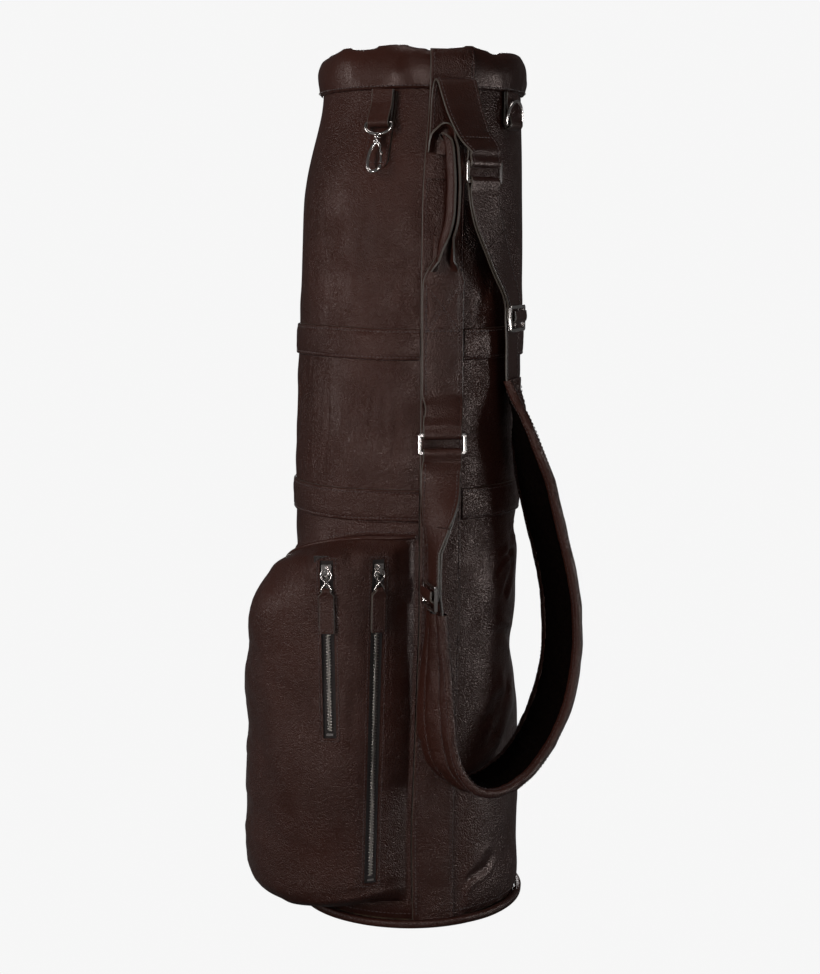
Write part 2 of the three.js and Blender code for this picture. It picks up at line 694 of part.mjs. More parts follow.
function buildAnchor() {
  const wrap = ringFold(UPPER_RING, 1, FOLD_LAYER, 13);
  const stations = [
    [7, -111.4, 784, 2], [9, -108.5, 810, 2], [10, -107.4, 826, 2], [10.5, -109.6, 836, 2],
    [11, -112.2, 842.5, 2], [11.5, -116.2, 845.2, 3], [12.2, -120.4, 843, 4], [13.5, -123.2, 836, 6],
    [18.5, -127.5, 815, 12], [27, -132, 793, 21], ...wrap,
  ];
  addPart('strap_anchor', strip(stations, flatSection(STRAP_WIDTH + 2, TRIM_LEATHER), 64), leather);
  addPart('upper_ring', ringGeometry().applyMatrix4(facing(UPPER_RING.centre, UPPER_RING.angle)), nickel);
  addPart('upper_ring_loop', strip(ringFold(UPPER_RING, -1, FOLD_LAYER, 9), flatSection(STRAP_WIDTH, STRAP_LEATHER), 18), leather);
}

function buildLowerAnchor() {
  const face = (z) => spineFace(z) + FIT_GAP;
  const patch = wallSection([516, 550, 590, 630, 660, 672], (z) => face(z) + TRIM_LEATHER, face);
  const half = 10.4;
  addPart('anchor_patch', turned(patch, (z) => spineAngle(z) - half, (z) => spineAngle(z) + half, 5), leather);
  addPart('lower_anchor_loop', strip(ringFold(LOWER_RING, 1, FOLD_LAYER, 9.5), flatSection(STRAP_WIDTH, STRAP_LEATHER), 18), leather);
  addPart('lower_ring', ringGeometry().applyMatrix4(facing(LOWER_RING.centre, LOWER_RING.angle)), nickel);
  addPart('lower_ring_loop', strip(ringFold(LOWER_RING, -1, FOLD_LAYER, 9), flatSection(STRAP_WIDTH, STRAP_LEATHER), 18), leather);
}

// One layer where a slider runs, two layers where the strap is doubled
function layeredSection(doubled) {
  const half = STRAP_LEATHER / 2;
  const front = doubled ? half + STRAP_LEATHER + 0.4 : half;
  const w = STRAP_WIDTH / 2;
  return [[-w, -half], [w, -half], [w, front], [-w, front]];
}

const UPPER_RUN = { foot: [79, -94.6, 559], slider: [76.5, -98, 617], angle: 54 };
const LOWER_RUN = { slider: [-15.7, -146, 351], angle: 88 };

function buildStrapRuns() {
  const upper = [
    [35, -133, 733, 27], [39, -130.5, 716, 31], [48.5, -123.5, 694, 38], [61, -112.5, 667, 47],
    [70.5, -104.2, 648, 53], [75.7, -99, 632, 54], [...UPPER_RUN.slider, 54], [77.8, -96.3, 588, 54], [...UPPER_RUN.foot, 54],
  ];
  addPart('upper_strap', strip(upper, (t) => layeredSection(t < 0.54), 40), leather);
  const lower = [
    [-15.5, -147, 337.6, 92], [...LOWER_RUN.slider, 88], [-15.6, -145.6, 372, 88], [-15, -145, 394, 90],
    [-12, -143.5, 418, 112], [-8.5, -138.5, 446, 148], [-6.8, -131.5, 470, 172],
  ];
  addPart('lower_strap', strip(lower, (t) => layeredSection(t > 0.53), 40), leather);
}

function sliderGeometry() {
  const open = (SLIDER_HEIGHT - 2 * SLIDER_BAR - 3) / 2;
  const offset = 1.5 + open / 2;
  const holes = [-offset, offset].map((y) => rectangle(RING_WIDTH - 2 * RING_BAR, open, 0, y));
  return plate(chamfered(RING_WIDTH, SLIDER_HEIGHT, 1.6), 3.2, holes).translate(0, 0, -1.6);
}

// Strap end sewn round the slider's centre bar; across, up and outward from the slider's centre
function strapEndGeometry() {
  const fold = 3.8;
  const stations = [
    [0, 17, -fold, 0], [0, 6, -fold, 0], [0, 0, -fold, 0], [0, -fold, 0, 0], [0, 0, fold, 0], [0, 7.5, fold - 0.6, 0],
  ];
  return strip(stations, flatSection(STRAP_WIDTH, STRAP_LEATHER), 18);
}

function addStrapSlider(name, run, angle) {
  const turn = radians(angle);
  const [x, y, z] = run.slider;
  const centre = [x + SLIDER_STANDOFF * Math.sin(turn), y - SLIDER_STANDOFF * Math.cos(turn), z];
  const place = facing(centre, angle);
  addPart(`${name}_slider`, sliderGeometry().applyMatrix4(place), nickel);
  addPart(`${name}_strap_end`, strapEndGeometry().applyMatrix4(place), leather);
}

// Centre line of the padded part, from its upper end round the loop to its lower end
const PAD_LINE = [
  [79.3, -94.3, 556, 54], [84.5, -97.5, 532, 70], [89, -105, 500, 92], [101, -105, 455, 106],
  [112.5, -103, 412, 106], [124, -101, 370, 106], [130.5, -102.5, 330, 106], [131.5, -105, 288, 106],
  [126.5, -108, 252, 106], [114.5, -113, 218, 106], [97, -120, 190, 106], [76, -129, 170, 106],
  [52, -139, 158, 106], [28, -148, 155, 106], [8, -151, 162, 106], [-7, -151, 180, 106],
  [-15, -150, 208, 106], [-17, -149, 247, 106], [-16, -148.5, 290, 104], [-15.5, -147.2, 334, 94],
];

// The pad narrows to the strap's width at both ends
function padScale(t) {
  const fromEnd = Math.min(t, 1 - t);
  return THREE.MathUtils.lerp(STRAP_WIDTH / PAD_WIDTH, 1, THREE.MathUtils.smoothstep(fromEnd, 0, 0.14));
}

// Outline of one layer of the pad: along the underside and back along the top, whose edges may
// be drawn in. Points across its width let the layer follow the strap's twist.
function padLayer(half, low, high, drawnIn = 0) {
  const across = Array.from({ length: 7 }, (_, i) => i / 3 - 1);
  const under = across.map((share) => [share * half, low]);
  const over = across.map((share) => [share * half, high - drawnIn * share ** 4]);
  return [...under, ...over.reverse()];
}

function buildPad() {
  const half = PAD_WIDTH / 2;
  const samples = 72;
  const layers = [
    ['pad_leather', padLayer(half, 2.1, 6, 2.4), leather],
    ['pad_core', padLayer(half - 2.7, -2.1, 1.5), foam],
    ['pad_lining', padLayer(half, -5, -2.7), fleece],
  ];
  for (const [name, outline, material] of layers) {
    const sectionAt = (t) => outline.map(([a, b]) => [a * padScale(t), b]);
    addPart(name, strip(PAD_LINE, sectionAt, samples, ladderFaces(outline.length)), material);
  }
}

// ---------------------------------------------------------------- carry handle

const HANDLE_LINE = [
  [-8, -117.5, 774], [-7, -120, 789], [-2, -123, 798], [3.5, -127, 789], [6, -130, 768],
  [6.5, -131, 735], [5, -129.5, 708], [2, -125.8, 691], [0, -124.5, 680],
];

function buildHandle() {
  addPart('handle_grip', strip(HANDLE_LINE.map((p) => [...p, 0]), () => chamfered(12, 8.5, 2.4), 34), leather);
  const face = (z) => spineFace(z) + FIT_GAP;
  const outer = (z) => face(z) + TRIM_LEATHER;
  addPart('handle_tab_upper', turned(wallSection([752, 766, 780], outer, face), (z) => spineAngle(z) - 10, (z) => spineAngle(z) + 1, 3), leather);
  addPart('handle_tab_lower', turned(wallSection([674, 686, 698], outer, face), () => -6, () => 6, 3), leather);
}

// ---------------------------------------------------------------- assembly

buildBase();
buildTube();
buildSpine();
buildBands();
buildCuff();
buildDivider();
const shortZip = zipFrame(ZIP_SHORT);
const longZip = zipFrame(ZIP_LONG);
buildPocket([shortZip, longZip]);
buildZip('zip_short', shortZip);
buildZip('zip_long', longZip);
buildTowelClip();
buildDRing();
buildAnchor();
buildLowerAnchor();
buildStrapRuns();
addStrapSlider('upper', UPPER_RUN, UPPER_RUN.angle);
addStrapSlider('lower', LOWER_RUN, LOWER_RUN.angle + 180);
buildPad();
buildHandle();

export default bag;
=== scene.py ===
"""Looks of the golf bag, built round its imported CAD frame. Millimetres in the code, metres in Blender."""

import math

import bmesh
import bpy
import numpy as np
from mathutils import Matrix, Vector


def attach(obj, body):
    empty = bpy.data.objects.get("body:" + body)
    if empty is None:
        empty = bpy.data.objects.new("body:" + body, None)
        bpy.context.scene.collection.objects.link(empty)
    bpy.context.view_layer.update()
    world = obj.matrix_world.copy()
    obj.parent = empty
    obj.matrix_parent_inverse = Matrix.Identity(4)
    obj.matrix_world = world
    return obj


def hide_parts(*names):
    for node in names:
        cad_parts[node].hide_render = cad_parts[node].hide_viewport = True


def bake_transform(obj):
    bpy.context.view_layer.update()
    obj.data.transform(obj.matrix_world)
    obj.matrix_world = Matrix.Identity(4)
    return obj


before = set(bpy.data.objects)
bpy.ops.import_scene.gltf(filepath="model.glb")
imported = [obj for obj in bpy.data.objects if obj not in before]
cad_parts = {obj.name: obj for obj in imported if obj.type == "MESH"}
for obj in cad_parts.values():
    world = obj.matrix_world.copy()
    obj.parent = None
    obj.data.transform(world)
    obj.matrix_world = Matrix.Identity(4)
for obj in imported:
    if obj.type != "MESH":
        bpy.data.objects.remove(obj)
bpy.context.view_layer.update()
MM = 0.001

# ---------------------------------------------------------------- numbers shared with the CAD

BAND_UPPER = (578, 609)
BAND_LOWER = (418, 450)
SPINE_WIDTH = 43.0
TRIM = 2.2
STRAP_WIDTH = 38.0
PAD_WIDTH = 62.0
RIPPLE_LENGTH = 22.0
MEAN_RADIUS = 112.0
STITCH_EDGE = 3.2
PAD_HALF = PAD_WIDTH / 2

TUBE = [
    (0, 0, 114.5), (250, -3, 114.7), (436, -4, 114.8), (530, -2, 114.9), (633, 1, 113.6), (735, 3, 112),
    (762, 5.3, 109.8), (785, 8, 107), (806, 10.6, 103.9), (825, 12.5, 101.5), (848, 13.2, 100.4),
    (880, 13.5, 100),
]
CUFF = [(836, 103), (842, 105.2), (854, 106.2), (866, 105.4), (874, 103), (880, 97)]
SPINE = [
    (0, -8), (100, -8.3), (223, -2.3), (315, 1.4), (436, 2.5), (530, 1.3), (633, -1), (785, -1), (880, 0),
]


def smoothed(table, column, spread=8.0):
    """A table's column as a smooth function of height."""
    grid = np.arange(-60.0, 941.0)
    raw = np.interp(grid, [row[0] for row in table], [row[column] for row in table])
    reach = np.arange(-40, 41)
    kernel = np.exp(-0.5 * (reach / spread) ** 2)
    soft = np.convolve(np.pad(raw, 40, mode="edge"), kernel / kernel.sum(), mode="valid")
    return lambda z: np.interp(z, grid, soft)


tube_radius = smoothed(TUBE, 2)
tube_lean = smoothed(TUBE, 1)
spine_shift = smoothed(SPINE, 1, 14.0)
cuff_radius = smoothed(CUFF, 1, 1.5)


def smooth(t):
    t = np.clip(t, 0.0, 1.0)
    return t * t * (3 - 2 * t)


def bell(x, centre, spread):
    return np.exp(-(((x - centre) / spread) ** 2))


def window(x, low, high, soft):
    """1 between low and high, easing to 0 outside."""
    return smooth((x - low) / soft + 0.5) * smooth((high - x) / soft + 0.5)


# ---------------------------------------------------------------- noise


def value_noise(points, seed):
    cell = np.floor(points).astype(np.int64)
    f = points - cell
    f = f * f * (3 - 2 * f)

    def corner(dx, dy, dz):
        h = (cell[..., 0] + dx) * 73856093 ^ (cell[..., 1] + dy) * 19349663 ^ (cell[..., 2] + dz) * 83492791
        h = (h ^ (seed * 40503)) & 0xFFFFFFFF
        h = ((h ^ (h >> 16)) * 0x45D9F3B) & 0xFFFFFFFF
        h = ((h ^ (h >> 16)) * 0x45D9F3B) & 0xFFFFFFFF
        return (h ^ (h >> 16)) / 2147483647.5 - 1.0

    x, y, z = f[..., 0], f[..., 1], f[..., 2]
    total = 0.0
    for dx in (0, 1):
        for dy in (0, 1):
            for dz in (0, 1):
                weight = (x if dx else 1 - x) * (y if dy else 1 - y) * (z if dz else 1 - z)
                total = total + weight * corner(dx, dy, dz)
    return total


def fbm(points, seed, octaves=3):
    total, size = 0.0, 1.0
    for k in range(octaves):
        total = total + size * value_noise(points * 2.0**k + 17.3 * k, seed + k)
        size *= 0.5
    return total


def ridged(points, seed, sharp=4.0):
    """Thin ridges, 0 to 1."""
    return (1 - np.abs(value_noise(points, seed))) ** sharp


# ---------------------------------------------------------------- surfaces of the bag


def stack(*parts):
    return np.stack(np.broadcast_arrays(*parts), -1).astype(float)


def polar(angle, radius, z):
    turn = np.radians(angle)
    return stack(tube_lean(z) + radius * np.sin(turn), -radius * np.cos(turn), z)


def out_at(angle):
    turn = np.radians(angle)
    return stack(np.sin(turn), -np.cos(turn), np.zeros_like(turn))


def spine_angle(z):
    return np.degrees(np.arcsin(spine_shift(z) / tube_radius(z)))


def half_spine(z):
    return np.degrees(SPINE_WIDTH / 2 / tube_radius(z))


def crease(s, z, ends, width, depth, seed):
    """A pressed fold between two points [s, z], with a raised lip along each side, fading at its ends."""
    (s0, z0), (s1, z1) = ends
    length = math.hypot(s1 - s0, z1 - z0)
    t = ((s - s0) * (s1 - s0) + (z - z0) * (z1 - z0)) / length**2
    off = ((s - s0) * (z1 - z0) - (z - z0) * (s1 - s0)) / length
    off = off + 0.8 * width * value_noise(stack(s / 18, z / 18, 0 * s), seed)
    fade = smooth(t / 0.3 + 0.15) * smooth((1 - t) / 0.3 + 0.15)
    return depth * fade * (0.55 * bell(np.abs(off), 1.9 * width, width) - bell(off, 0.0, width))


# ends as two points [s, z], width, depth
CREASES = [
    (((18, 40), (70, 66)), 5.0, 1.6), (((52, 205), (80, 238)), 7.0, 3.0),
    (((60, 176), (104, 252)), 8.0, 2.8), (((84, 330), (106, 362)), 4.5, 1.8),
    (((92, 385), (106, 352)), 4.0, 1.8), (((80, 372), (112, 380)), 3.2, 1.6),
    (((66, 300), (120, 282)), 6.0, 1.6), (((100, 392), (122, 400)), 4.5, 2.2),
    (((-70, 470), (-62, 560)), 3.2, 0.9), (((-100, 462), (-92, 530)), 3.6, 0.9),
    (((-44, 478), (-40, 552)), 2.6, 0.7), (((-122, 455), (-116, 560)), 3.6, 0.9),
    (((-84, 640), (-76, 735)), 4.5, 0.7), (((-52, 620), (-46, 660)), 3.0, 0.8),
    (((40, 610), (52, 700)), 6.0, 1.0), (((150, 120), (190, 300)), 9.0, 1.6),
    (((-250, 200), (-215, 380)), 8.0, 1.5), (((220, 640), (260, 700)), 7.0, 1.2),
    (((-190, 480), (-170, 570)), 5.0, 1.0), (((240, 470), (262, 560)), 5.0, 1.0),
]


def round_tube(angle, z):
    """Point on a plain tube of the body's mean radius, where noise is looked up."""
    return stack(MEAN_RADIUS * np.sin(np.radians(angle)), -MEAN_RADIUS * np.cos(np.radians(angle)), z)


def slow_relief(around):
    return 1.5 * fbm(around / (75.0, 75.0, 140.0), 3, 2)


def body_relief(angle, z):
    """How far the soft leather tube stands in or out of its true circle."""
    s = MEAN_RADIUS * np.radians(angle)
    around = round_tube(angle, z)
    relief = slow_relief(around)
    relief = relief - 5.2 * bell(angle, 74, 20) * bell(z, 399, 15)
    relief = relief - 6.4 * bell(angle, 74, 24) * bell(z, 276, 30)
    relief = relief - 1.2 * bell(angle, 62, 26) * bell(z, 500, 50)
    relief = relief + 1.7 * bell(z, 34, 20) - 2.6 * bell(z, 8, 7)
    for low, high in (BAND_LOWER, BAND_UPPER):
        relief = relief + 0.9 * (bell(z, low - 20, 14) + bell(z, high + 20, 14))
    panel = window(z, 455, 575, 24) * window(angle, -112, -17, 16)
    panel = panel + 0.55 * window(z, 615, 760, 40) * window(angle, -100, -14, 16) + 0.25
    drawn = ridged(around / (8.0, 8.0, 85.0), 11, 5.0) + 0.6 * ridged(around / (15.0, 15.0, 120.0), 15, 4.0)
    relief = relief - 0.55 * panel * drawn
    crumple = bell(angle, 40, 9) * bell(z, 374, 20)
    relief = relief + 1.5 * crumple * fbm(around / (9.0, 9.0, 7.0), 21, 2)
    low_panel = window(angle, 14, 110, 18) * window(z, 20, 395, 50)
    relief = relief + 0.9 * low_panel * fbm(around / (26.0, 26.0, 38.0), 31, 2)
    for k, (ends, width, depth) in enumerate(CREASES):
        relief = relief + crease(s, z, ends, width, depth, 50 + k)
    near_trim = window(np.abs(angle), -1, 13, 5)
    return relief * (1 - 0.9 * near_trim)


def under_trim(angle, z):
    """Radius of the leather that a trim lies on; fine creases pass under the trim."""
    soft = slow_relief(round_tube(angle, z))
    soft = soft - 5.2 * bell(angle, 74, 20) * bell(z, 399, 15) - 1.2 * bell(angle, 62, 26) * bell(z, 500, 50)
    return tube_radius(z) + soft * (1 - 0.9 * window(np.abs(angle), -1, 13, 5))


# ---------------------------------------------------------------- mesh making


def make(name, verts, faces, materials, indices=None, smooth_angle=None):
    mesh = bpy.data.meshes.new(name)
    verts = (np.asarray(verts, float).reshape(-1, 3) * MM).tolist()
    mesh.from_pydata(verts, [], [list(map(int, f)) for f in faces])
    for material in materials:
        mesh.materials.append(material)
    if indices is not None:
        mesh.polygons.foreach_set("material_index", np.asarray(indices, np.int32))
    work = bmesh.new()
    work.from_mesh(mesh)
    bmesh.ops.recalc_face_normals(work, faces=work.faces)
    if work.calc_volume(signed=True) < 0:
        bmesh.ops.reverse_faces(work, faces=work.faces)
    work.to_mesh(mesh)
    work.free()
    mesh.polygons.foreach_set("use_smooth", [True] * len(mesh.polygons))
    if smooth_angle:
        mesh.set_sharp_from_angle(angle=math.radians(smooth_angle))
    piece = bpy.data.objects.new(name, mesh)
    bpy.context.scene.collection.objects.link(piece)
    return piece


def settle(piece, slot, body, *nodes):
    """Hides the CAD nodes that a piece stands for and, when a body is given, puts the piece under that body;
    the slot is not used.
    """
    if nodes:
        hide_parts(*nodes)
    if body:
        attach(piece, body)


def grid_faces(rows, count, wrap_rows=False, wrap_count=True):
    """Quads over a grid of rows with count points each."""
    r = np.arange(rows if wrap_rows else rows - 1)
    c = np.arange(count if wrap_count else count - 1)
    r, c = np.meshgrid(r, c, indexing="ij")
    r2, c2 = (r + 1) % rows, (c + 1) % count
    return np.stack([r * count + c, r2 * count + c, r2 * count + c2, r * count + c2], -1).reshape(-1, 4)


def loft(name, rows, materials, looped=False, ladder=False, edge_index=None, smooth_angle=None):
    """Closed skin over rows of matching closed outlines; edge_index gives each outline edge's material."""
    rows = np.asarray(rows, float)
    n, count = rows.shape[:2]
    faces = grid_faces(n, count, wrap_rows=looped).tolist()
    steps = n if looped else n - 1
    indices = np.tile(edge_index, steps).tolist() if edge_index is not None else [0] * len(faces)
    if not looped:
        last = (n - 1) * count
        caps = [list(range(count))[::-1]]
        if ladder:
            caps = [[j, j + 1, count - 2 - j, count - 1 - j] for j in range(count // 2 - 1)]
        for cap in caps:
            faces += [cap, [last + k for k in cap[::-1]]]
            indices += [0, 0]
    return make(name, rows.reshape(-1, 3), faces, materials, indices, smooth_angle)


def centripetal(points, ts):
    """Points on a centripetal Catmull-Rom curve at shares ts of its stations."""
    points = np.asarray(points, float)
    first = 2 * points[0] - points[1]
    last = 2 * points[-1] - points[-2]
    ext = np.vstack([first, points, last])
    at = np.clip(np.asarray(ts) * (len(points) - 1), 0, len(points) - 1 - 1e-9)
    i = np.floor(at).astype(int)
    w = (at - i)[:, None]
    x0, x1, x2, x3 = ext[i], ext[i + 1], ext[i + 2], ext[i + 3]
    d0, d1, d2 = (np.linalg.norm(b - a, axis=1)[:, None] ** 0.5 for a, b in ((x0, x1), (x1, x2), (x2, x3)))
    t1 = ((x1 - x0) / d0 - (x2 - x0) / (d0 + d1) + (x2 - x1) / d1) * d1
    t2 = ((x2 - x1) / d1 - (x3 - x1) / (d1 + d2) + (x3 - x2) / d2) * d1
    c2 = -3 * x1 + 3 * x2 - 2 * t1 - t2
    c3 = 2 * x1 - 2 * x2 + t1 + t2
    return x1 + t1 * w + c2 * w**2 + c3 * w**3


def unit(v):
    return v / np.linalg.norm(v, axis=-1, keepdims=True)


def strip_frames(stations, ts):
    """Centre, across and outward vectors along stations [x, y, z, width angle]."""
    stations = np.asarray(stations, float)
    centre = centripetal(stations[:, :3], ts)
    step = 1e-4
    before, after = np.clip(ts - step, 0, 1), np.clip(ts + step, 0, 1)
    along = unit(centripetal(stations[:, :3], after) - centripetal(stations[:, :3], before))
    turn = np.radians(np.interp(ts * (len(stations) - 1), np.arange(len(stations)), stations[:, 3]))
    flat = np.stack([np.cos(turn), np.sin(turn), 0 * turn], -1)
    outward = unit(np.cross(along, flat))
    return centre, np.cross(outward, along), outward


def strap_section(width, thickness, crown=0.3, groove=0.22):
    """Rounded leather section with pressed stitch grooves; also which of its edges are painted."""
    half, t = width / 2, thickness / 2
    r = min(0.7, t * 0.8)
    inset = half - r
    marks = np.array([0, 0.25, 0.5, 0.7, 0.8])
    stitch = half - STITCH_EDGE
    across = np.concatenate([marks * stitch, [stitch - 0.8, stitch, stitch + 0.8, inset]])
    across = np.unique(np.round(across, 4))
    face = np.concatenate([-across[::-1], across[1:]]) if across[0] == 0 else across
    top = t + crown * (1 - (face / half) ** 2) - groove * bell(np.abs(face), stitch, 0.7)
    arc = np.radians([60, 30, 0, -30, -60])
    right = [(inset + r * math.cos(a), (t - r) * np.sign(a) + r * math.sin(a)) for a in arc]
    bottom = [(a, -t) for a in face[::-1]]
    left = [(-a, -b) for a, b in right]
    outline = list(zip(face, top)) + right + bottom + left
    flags = np.zeros(len(outline), int)
    flags[len(face) - 1 : len(face) + 5] = 1
    flags[2 * len(face) + 4 : 2 * len(face) + 11] = 1
    flags[-1] = 1
    return np.array(outline), flags


def sweep(name, stations, outline, samples, materials, flags, smooth_angle, noise, span):
    """Skin of an outline carried along stations; noise ripples it in and out."""
    ts = np.linspace(span[0], span[1], samples + 1)
    centre, across, outward = strip_frames(stations, ts)
    rows = [c + outline[:, :1] * a + outline[:, 1:2] * o for c, a, o in zip(centre, across, outward)]
    rows = np.array(rows)
    if noise:
        push = noise * value_noise(rows / RIPPLE_LENGTH, 5)[..., None]
        rows = rows + push * outward[:, None, :]
    return loft(name, rows, materials, edge_index=flags, smooth_angle=smooth_angle)


def leather_strip(name, stations, width, thickness, samples, body, nodes=(), noise=0.25, span=(0, 1)):
    outline, flags = strap_section(width, thickness)
    piece = sweep(name, stations, outline, samples, [LEATHER_STRAP, EDGE_PAINT], flags, 50, noise, span)
    settle(piece, "leather", body, *nodes)
    return piece


def edged(name, rows, flags, smooth_angle=50, leather=None, ladder=True):
    """Leather skin over rows, painted along the outline edges flagged 1."""
    materials = [leather or LEATHER_STRAP, EDGE_PAINT]
    return loft(name, rows, materials, ladder=ladder, edge_index=flags, smooth_angle=smooth_angle)


class Threads:
    """Rows of separate stitches gathered into one piece."""

    def __init__(self):
        self.verts = []
        self.faces = []

    def row(self, path, normals, pitch=4.2, length=3.1, radius=0.42, lift=0.05, slant=0.0):
        path, normals = np.asarray(path, float), unit(np.asarray(normals, float))
        steps = np.linalg.norm(np.diff(path, axis=0), axis=1)
        run = np.concatenate([[0], np.cumsum(steps)])
        count = max(int(run[-1] / pitch), 1)
        at = (np.arange(count) + 0.5) * run[-1] / count
        centre = np.stack([np.interp(at, run, path[:, k]) for k in range(3)], -1)
        ahead = np.stack([np.interp(np.clip(at + 0.5, 0, run[-1]), run, path[:, k]) for k in range(3)], -1)
        behind = np.stack([np.interp(np.clip(at - 0.5, 0, run[-1]), run, path[:, k]) for k in range(3)], -1)
        normal = unit(np.stack([np.interp(at, run, normals[:, k]) for k in range(3)], -1))
        along = unit(ahead - behind)
        side = unit(np.cross(normal, along))
        along = unit(along + slant * side)
        side = unit(np.cross(normal, along))
        sides = 6
        turns = np.arange(sides) * 2 * math.pi / sides
        stops = [(-0.5, 0.35, -0.7), (-0.34, 0.9, 0.0), (0.0, 1.0, 0.25), (0.34, 0.9, 0.0), (0.5, 0.35, -0.7)]
        for c, a, s, n in zip(centre, along, side, normal):
            base = len(self.verts)
            for where, size, rise in stops:
                for turn in turns:
                    self.verts.append(
                        c + a * where * length + n * (lift + radius * (rise + size * math.sin(turn)))
                        + s * radius * 1.1 * size * math.cos(turn))
            for ring in range(len(stops) - 1):
                for k in range(sides):
                    k2 = (k + 1) % sides
                    self.faces.append([base + ring * sides + k, base + ring * sides + k2,
                                       base + (ring + 1) * sides + k2, base + (ring + 1) * sides + k])
            last = base + (len(stops) - 1) * sides
            self.faces.append([base + k for k in range(sides)][::-1])
            self.faces.append([last + k for k in range(sides)])

    def build(self, name, body=None):
        piece = make(name, self.verts, self.faces, [THREAD])
        settle(piece, "leather", body)
        return piece


def strip_rows(threads, stations, offsets, height, span=(0, 1), samples=60, **kw):
    """Stitch rows along a strip at distances across it, on its outward face."""
    ts = np.linspace(span[0], span[1], samples)
    centre, across, outward = strip_frames(stations, ts)
    for off in offsets:
        side = 1 if height > 0 else -1
        threads.row(centre + off * across + height * outward, side * outward, **kw)


def tube_path(name, points, radius, materials, looped=False, sides=12, radius_at=None, normal=None):
    """Round wire along a list of points."""
    points = np.asarray(points, float)
    count = len(points)
    if looped:
        along = unit(np.roll(points, -1, 0) - np.roll(points, 1, 0))
    else:
        along = unit(np.gradient(points, axis=0))
    if normal is None:
        normal = np.array([0.0, 0.0, 1.0])
    first = unit(np.cross(along, np.broadcast_to(normal, along.shape)))
    second = np.cross(first, along)
    turns = np.linspace(0, 2 * math.pi, sides, endpoint=False)
    size = np.full(count, radius) if radius_at is None else np.asarray(radius_at)
    rows = points[:, None, :] + size[:, None, None] * (
        np.cos(turns)[None, :, None] * first[:, None, :] + np.sin(turns)[None, :, None] * second[:, None, :])
    return loft(name, rows, materials, looped=looped)


def join(name, pieces):
    """Several closed meshes as one piece."""
    work = bmesh.new()
    materials = []
    for piece in pieces:
        offset = len(materials)
        materials += list(piece.data.materials)
        before = len(work.faces)
        work.from_mesh(piece.data)
        work.faces.ensure_lookup_table()
        for face in work.faces[before:]:
            face.material_index += offset
    mesh = bpy.data.meshes.new(name)
    work.to_mesh(mesh)
    work.free()
    for material in materials:
        mesh.materials.append(material)
    for piece in pieces:
        bpy.data.objects.remove(piece)
    whole = bpy.data.objects.new(name, mesh)
    bpy.context.scene.collection.objects.link(whole)
    return whole


# ---------------------------------------------------------------- materials


class Nodes:
    """Short calls for building a material's nodes."""

    def __init__(self, name):
        self.material = bpy.data.materials.new(name)
        self.material.use_nodes = True
        self.tree = self.material.node_tree
        self.shader = self.tree.nodes["Principled BSDF"]
        self.place = self.add("ShaderNodeTexCoord").outputs["Object"]

    def add(self, kind, inputs=None, **settings):
        node = self.tree.nodes.new(kind)
        for key, value in settings.items():
            setattr(node, key, value)
        for key, value in (inputs or {}).items():
            self.feed(node.inputs[key], value)
        return node

    def feed(self, socket, value):
        if isinstance(value, bpy.types.NodeSocket):
            self.tree.links.new(value, socket)
        else:
            socket.default_value = value

    def math(self, operation, a, b=0.0, c=0.0):
        node = self.add("ShaderNodeMath", {0: a, 1: b, 2: c}, operation=operation)
        return node.outputs[0]

    def scaled(self, x, y, z):
        node = self.add("ShaderNodeMapping", {"Vector": self.place, "Scale": (x, y, z)})
        return node.outputs["Vector"]

    def noise(self, scale, detail=2.0, vector=None, roughness=0.5):
        inputs = {"Vector": vector or self.place, "Scale": scale, "Detail": detail, "Roughness": roughness}
        return self.add("ShaderNodeTexNoise", inputs).outputs["Fac"]

    def cells(self, vector, scale, smoothness):
        inputs = {"Vector": vector, "Scale": scale, "Smoothness": smoothness}
        return self.add("ShaderNodeTexVoronoi", inputs, feature="SMOOTH_F1").outputs["Distance"]

    def wave(self, scale, direction):
        inputs = {"Vector": self.place, "Scale": scale, "Distortion": 0.6, "Detail": 1.0}
        return self.add("ShaderNodeTexWave", inputs, bands_direction=direction).outputs["Fac"]

    def ramp(self, value, stops):
        node = self.add("ShaderNodeValToRGB", {"Fac": value})
        ramp = node.color_ramp
        while len(ramp.elements) < len(stops):
            ramp.elements.new(0.5)
        for element, (at, color) in zip(ramp.elements, stops):
            element.position = at
            element.color = color if len(color) == 4 else (*color, 1)
        return node.outputs["Color"]

    def span(self, value, low, high, to_low, to_high):
        inputs = {"Value": value, "From Min": low, "From Max": high, "To Min": to_low, "To Max": to_high}
        return self.add("ShaderNodeMapRange", inputs).outputs["Result"]

    def bump(self, height, distance, strength=1.0, under=None):
        inputs = {"Height": height, "Distance": distance, "Strength": strength}
        if under is not None:
            inputs["Normal"] = under
        return self.add("ShaderNodeBump", inputs).outputs["Normal"]

    def set(self, **values):
        for key, value in values.items():
            self.feed(self.shader.inputs[key.replace("_", " ")], value)
        return self.material


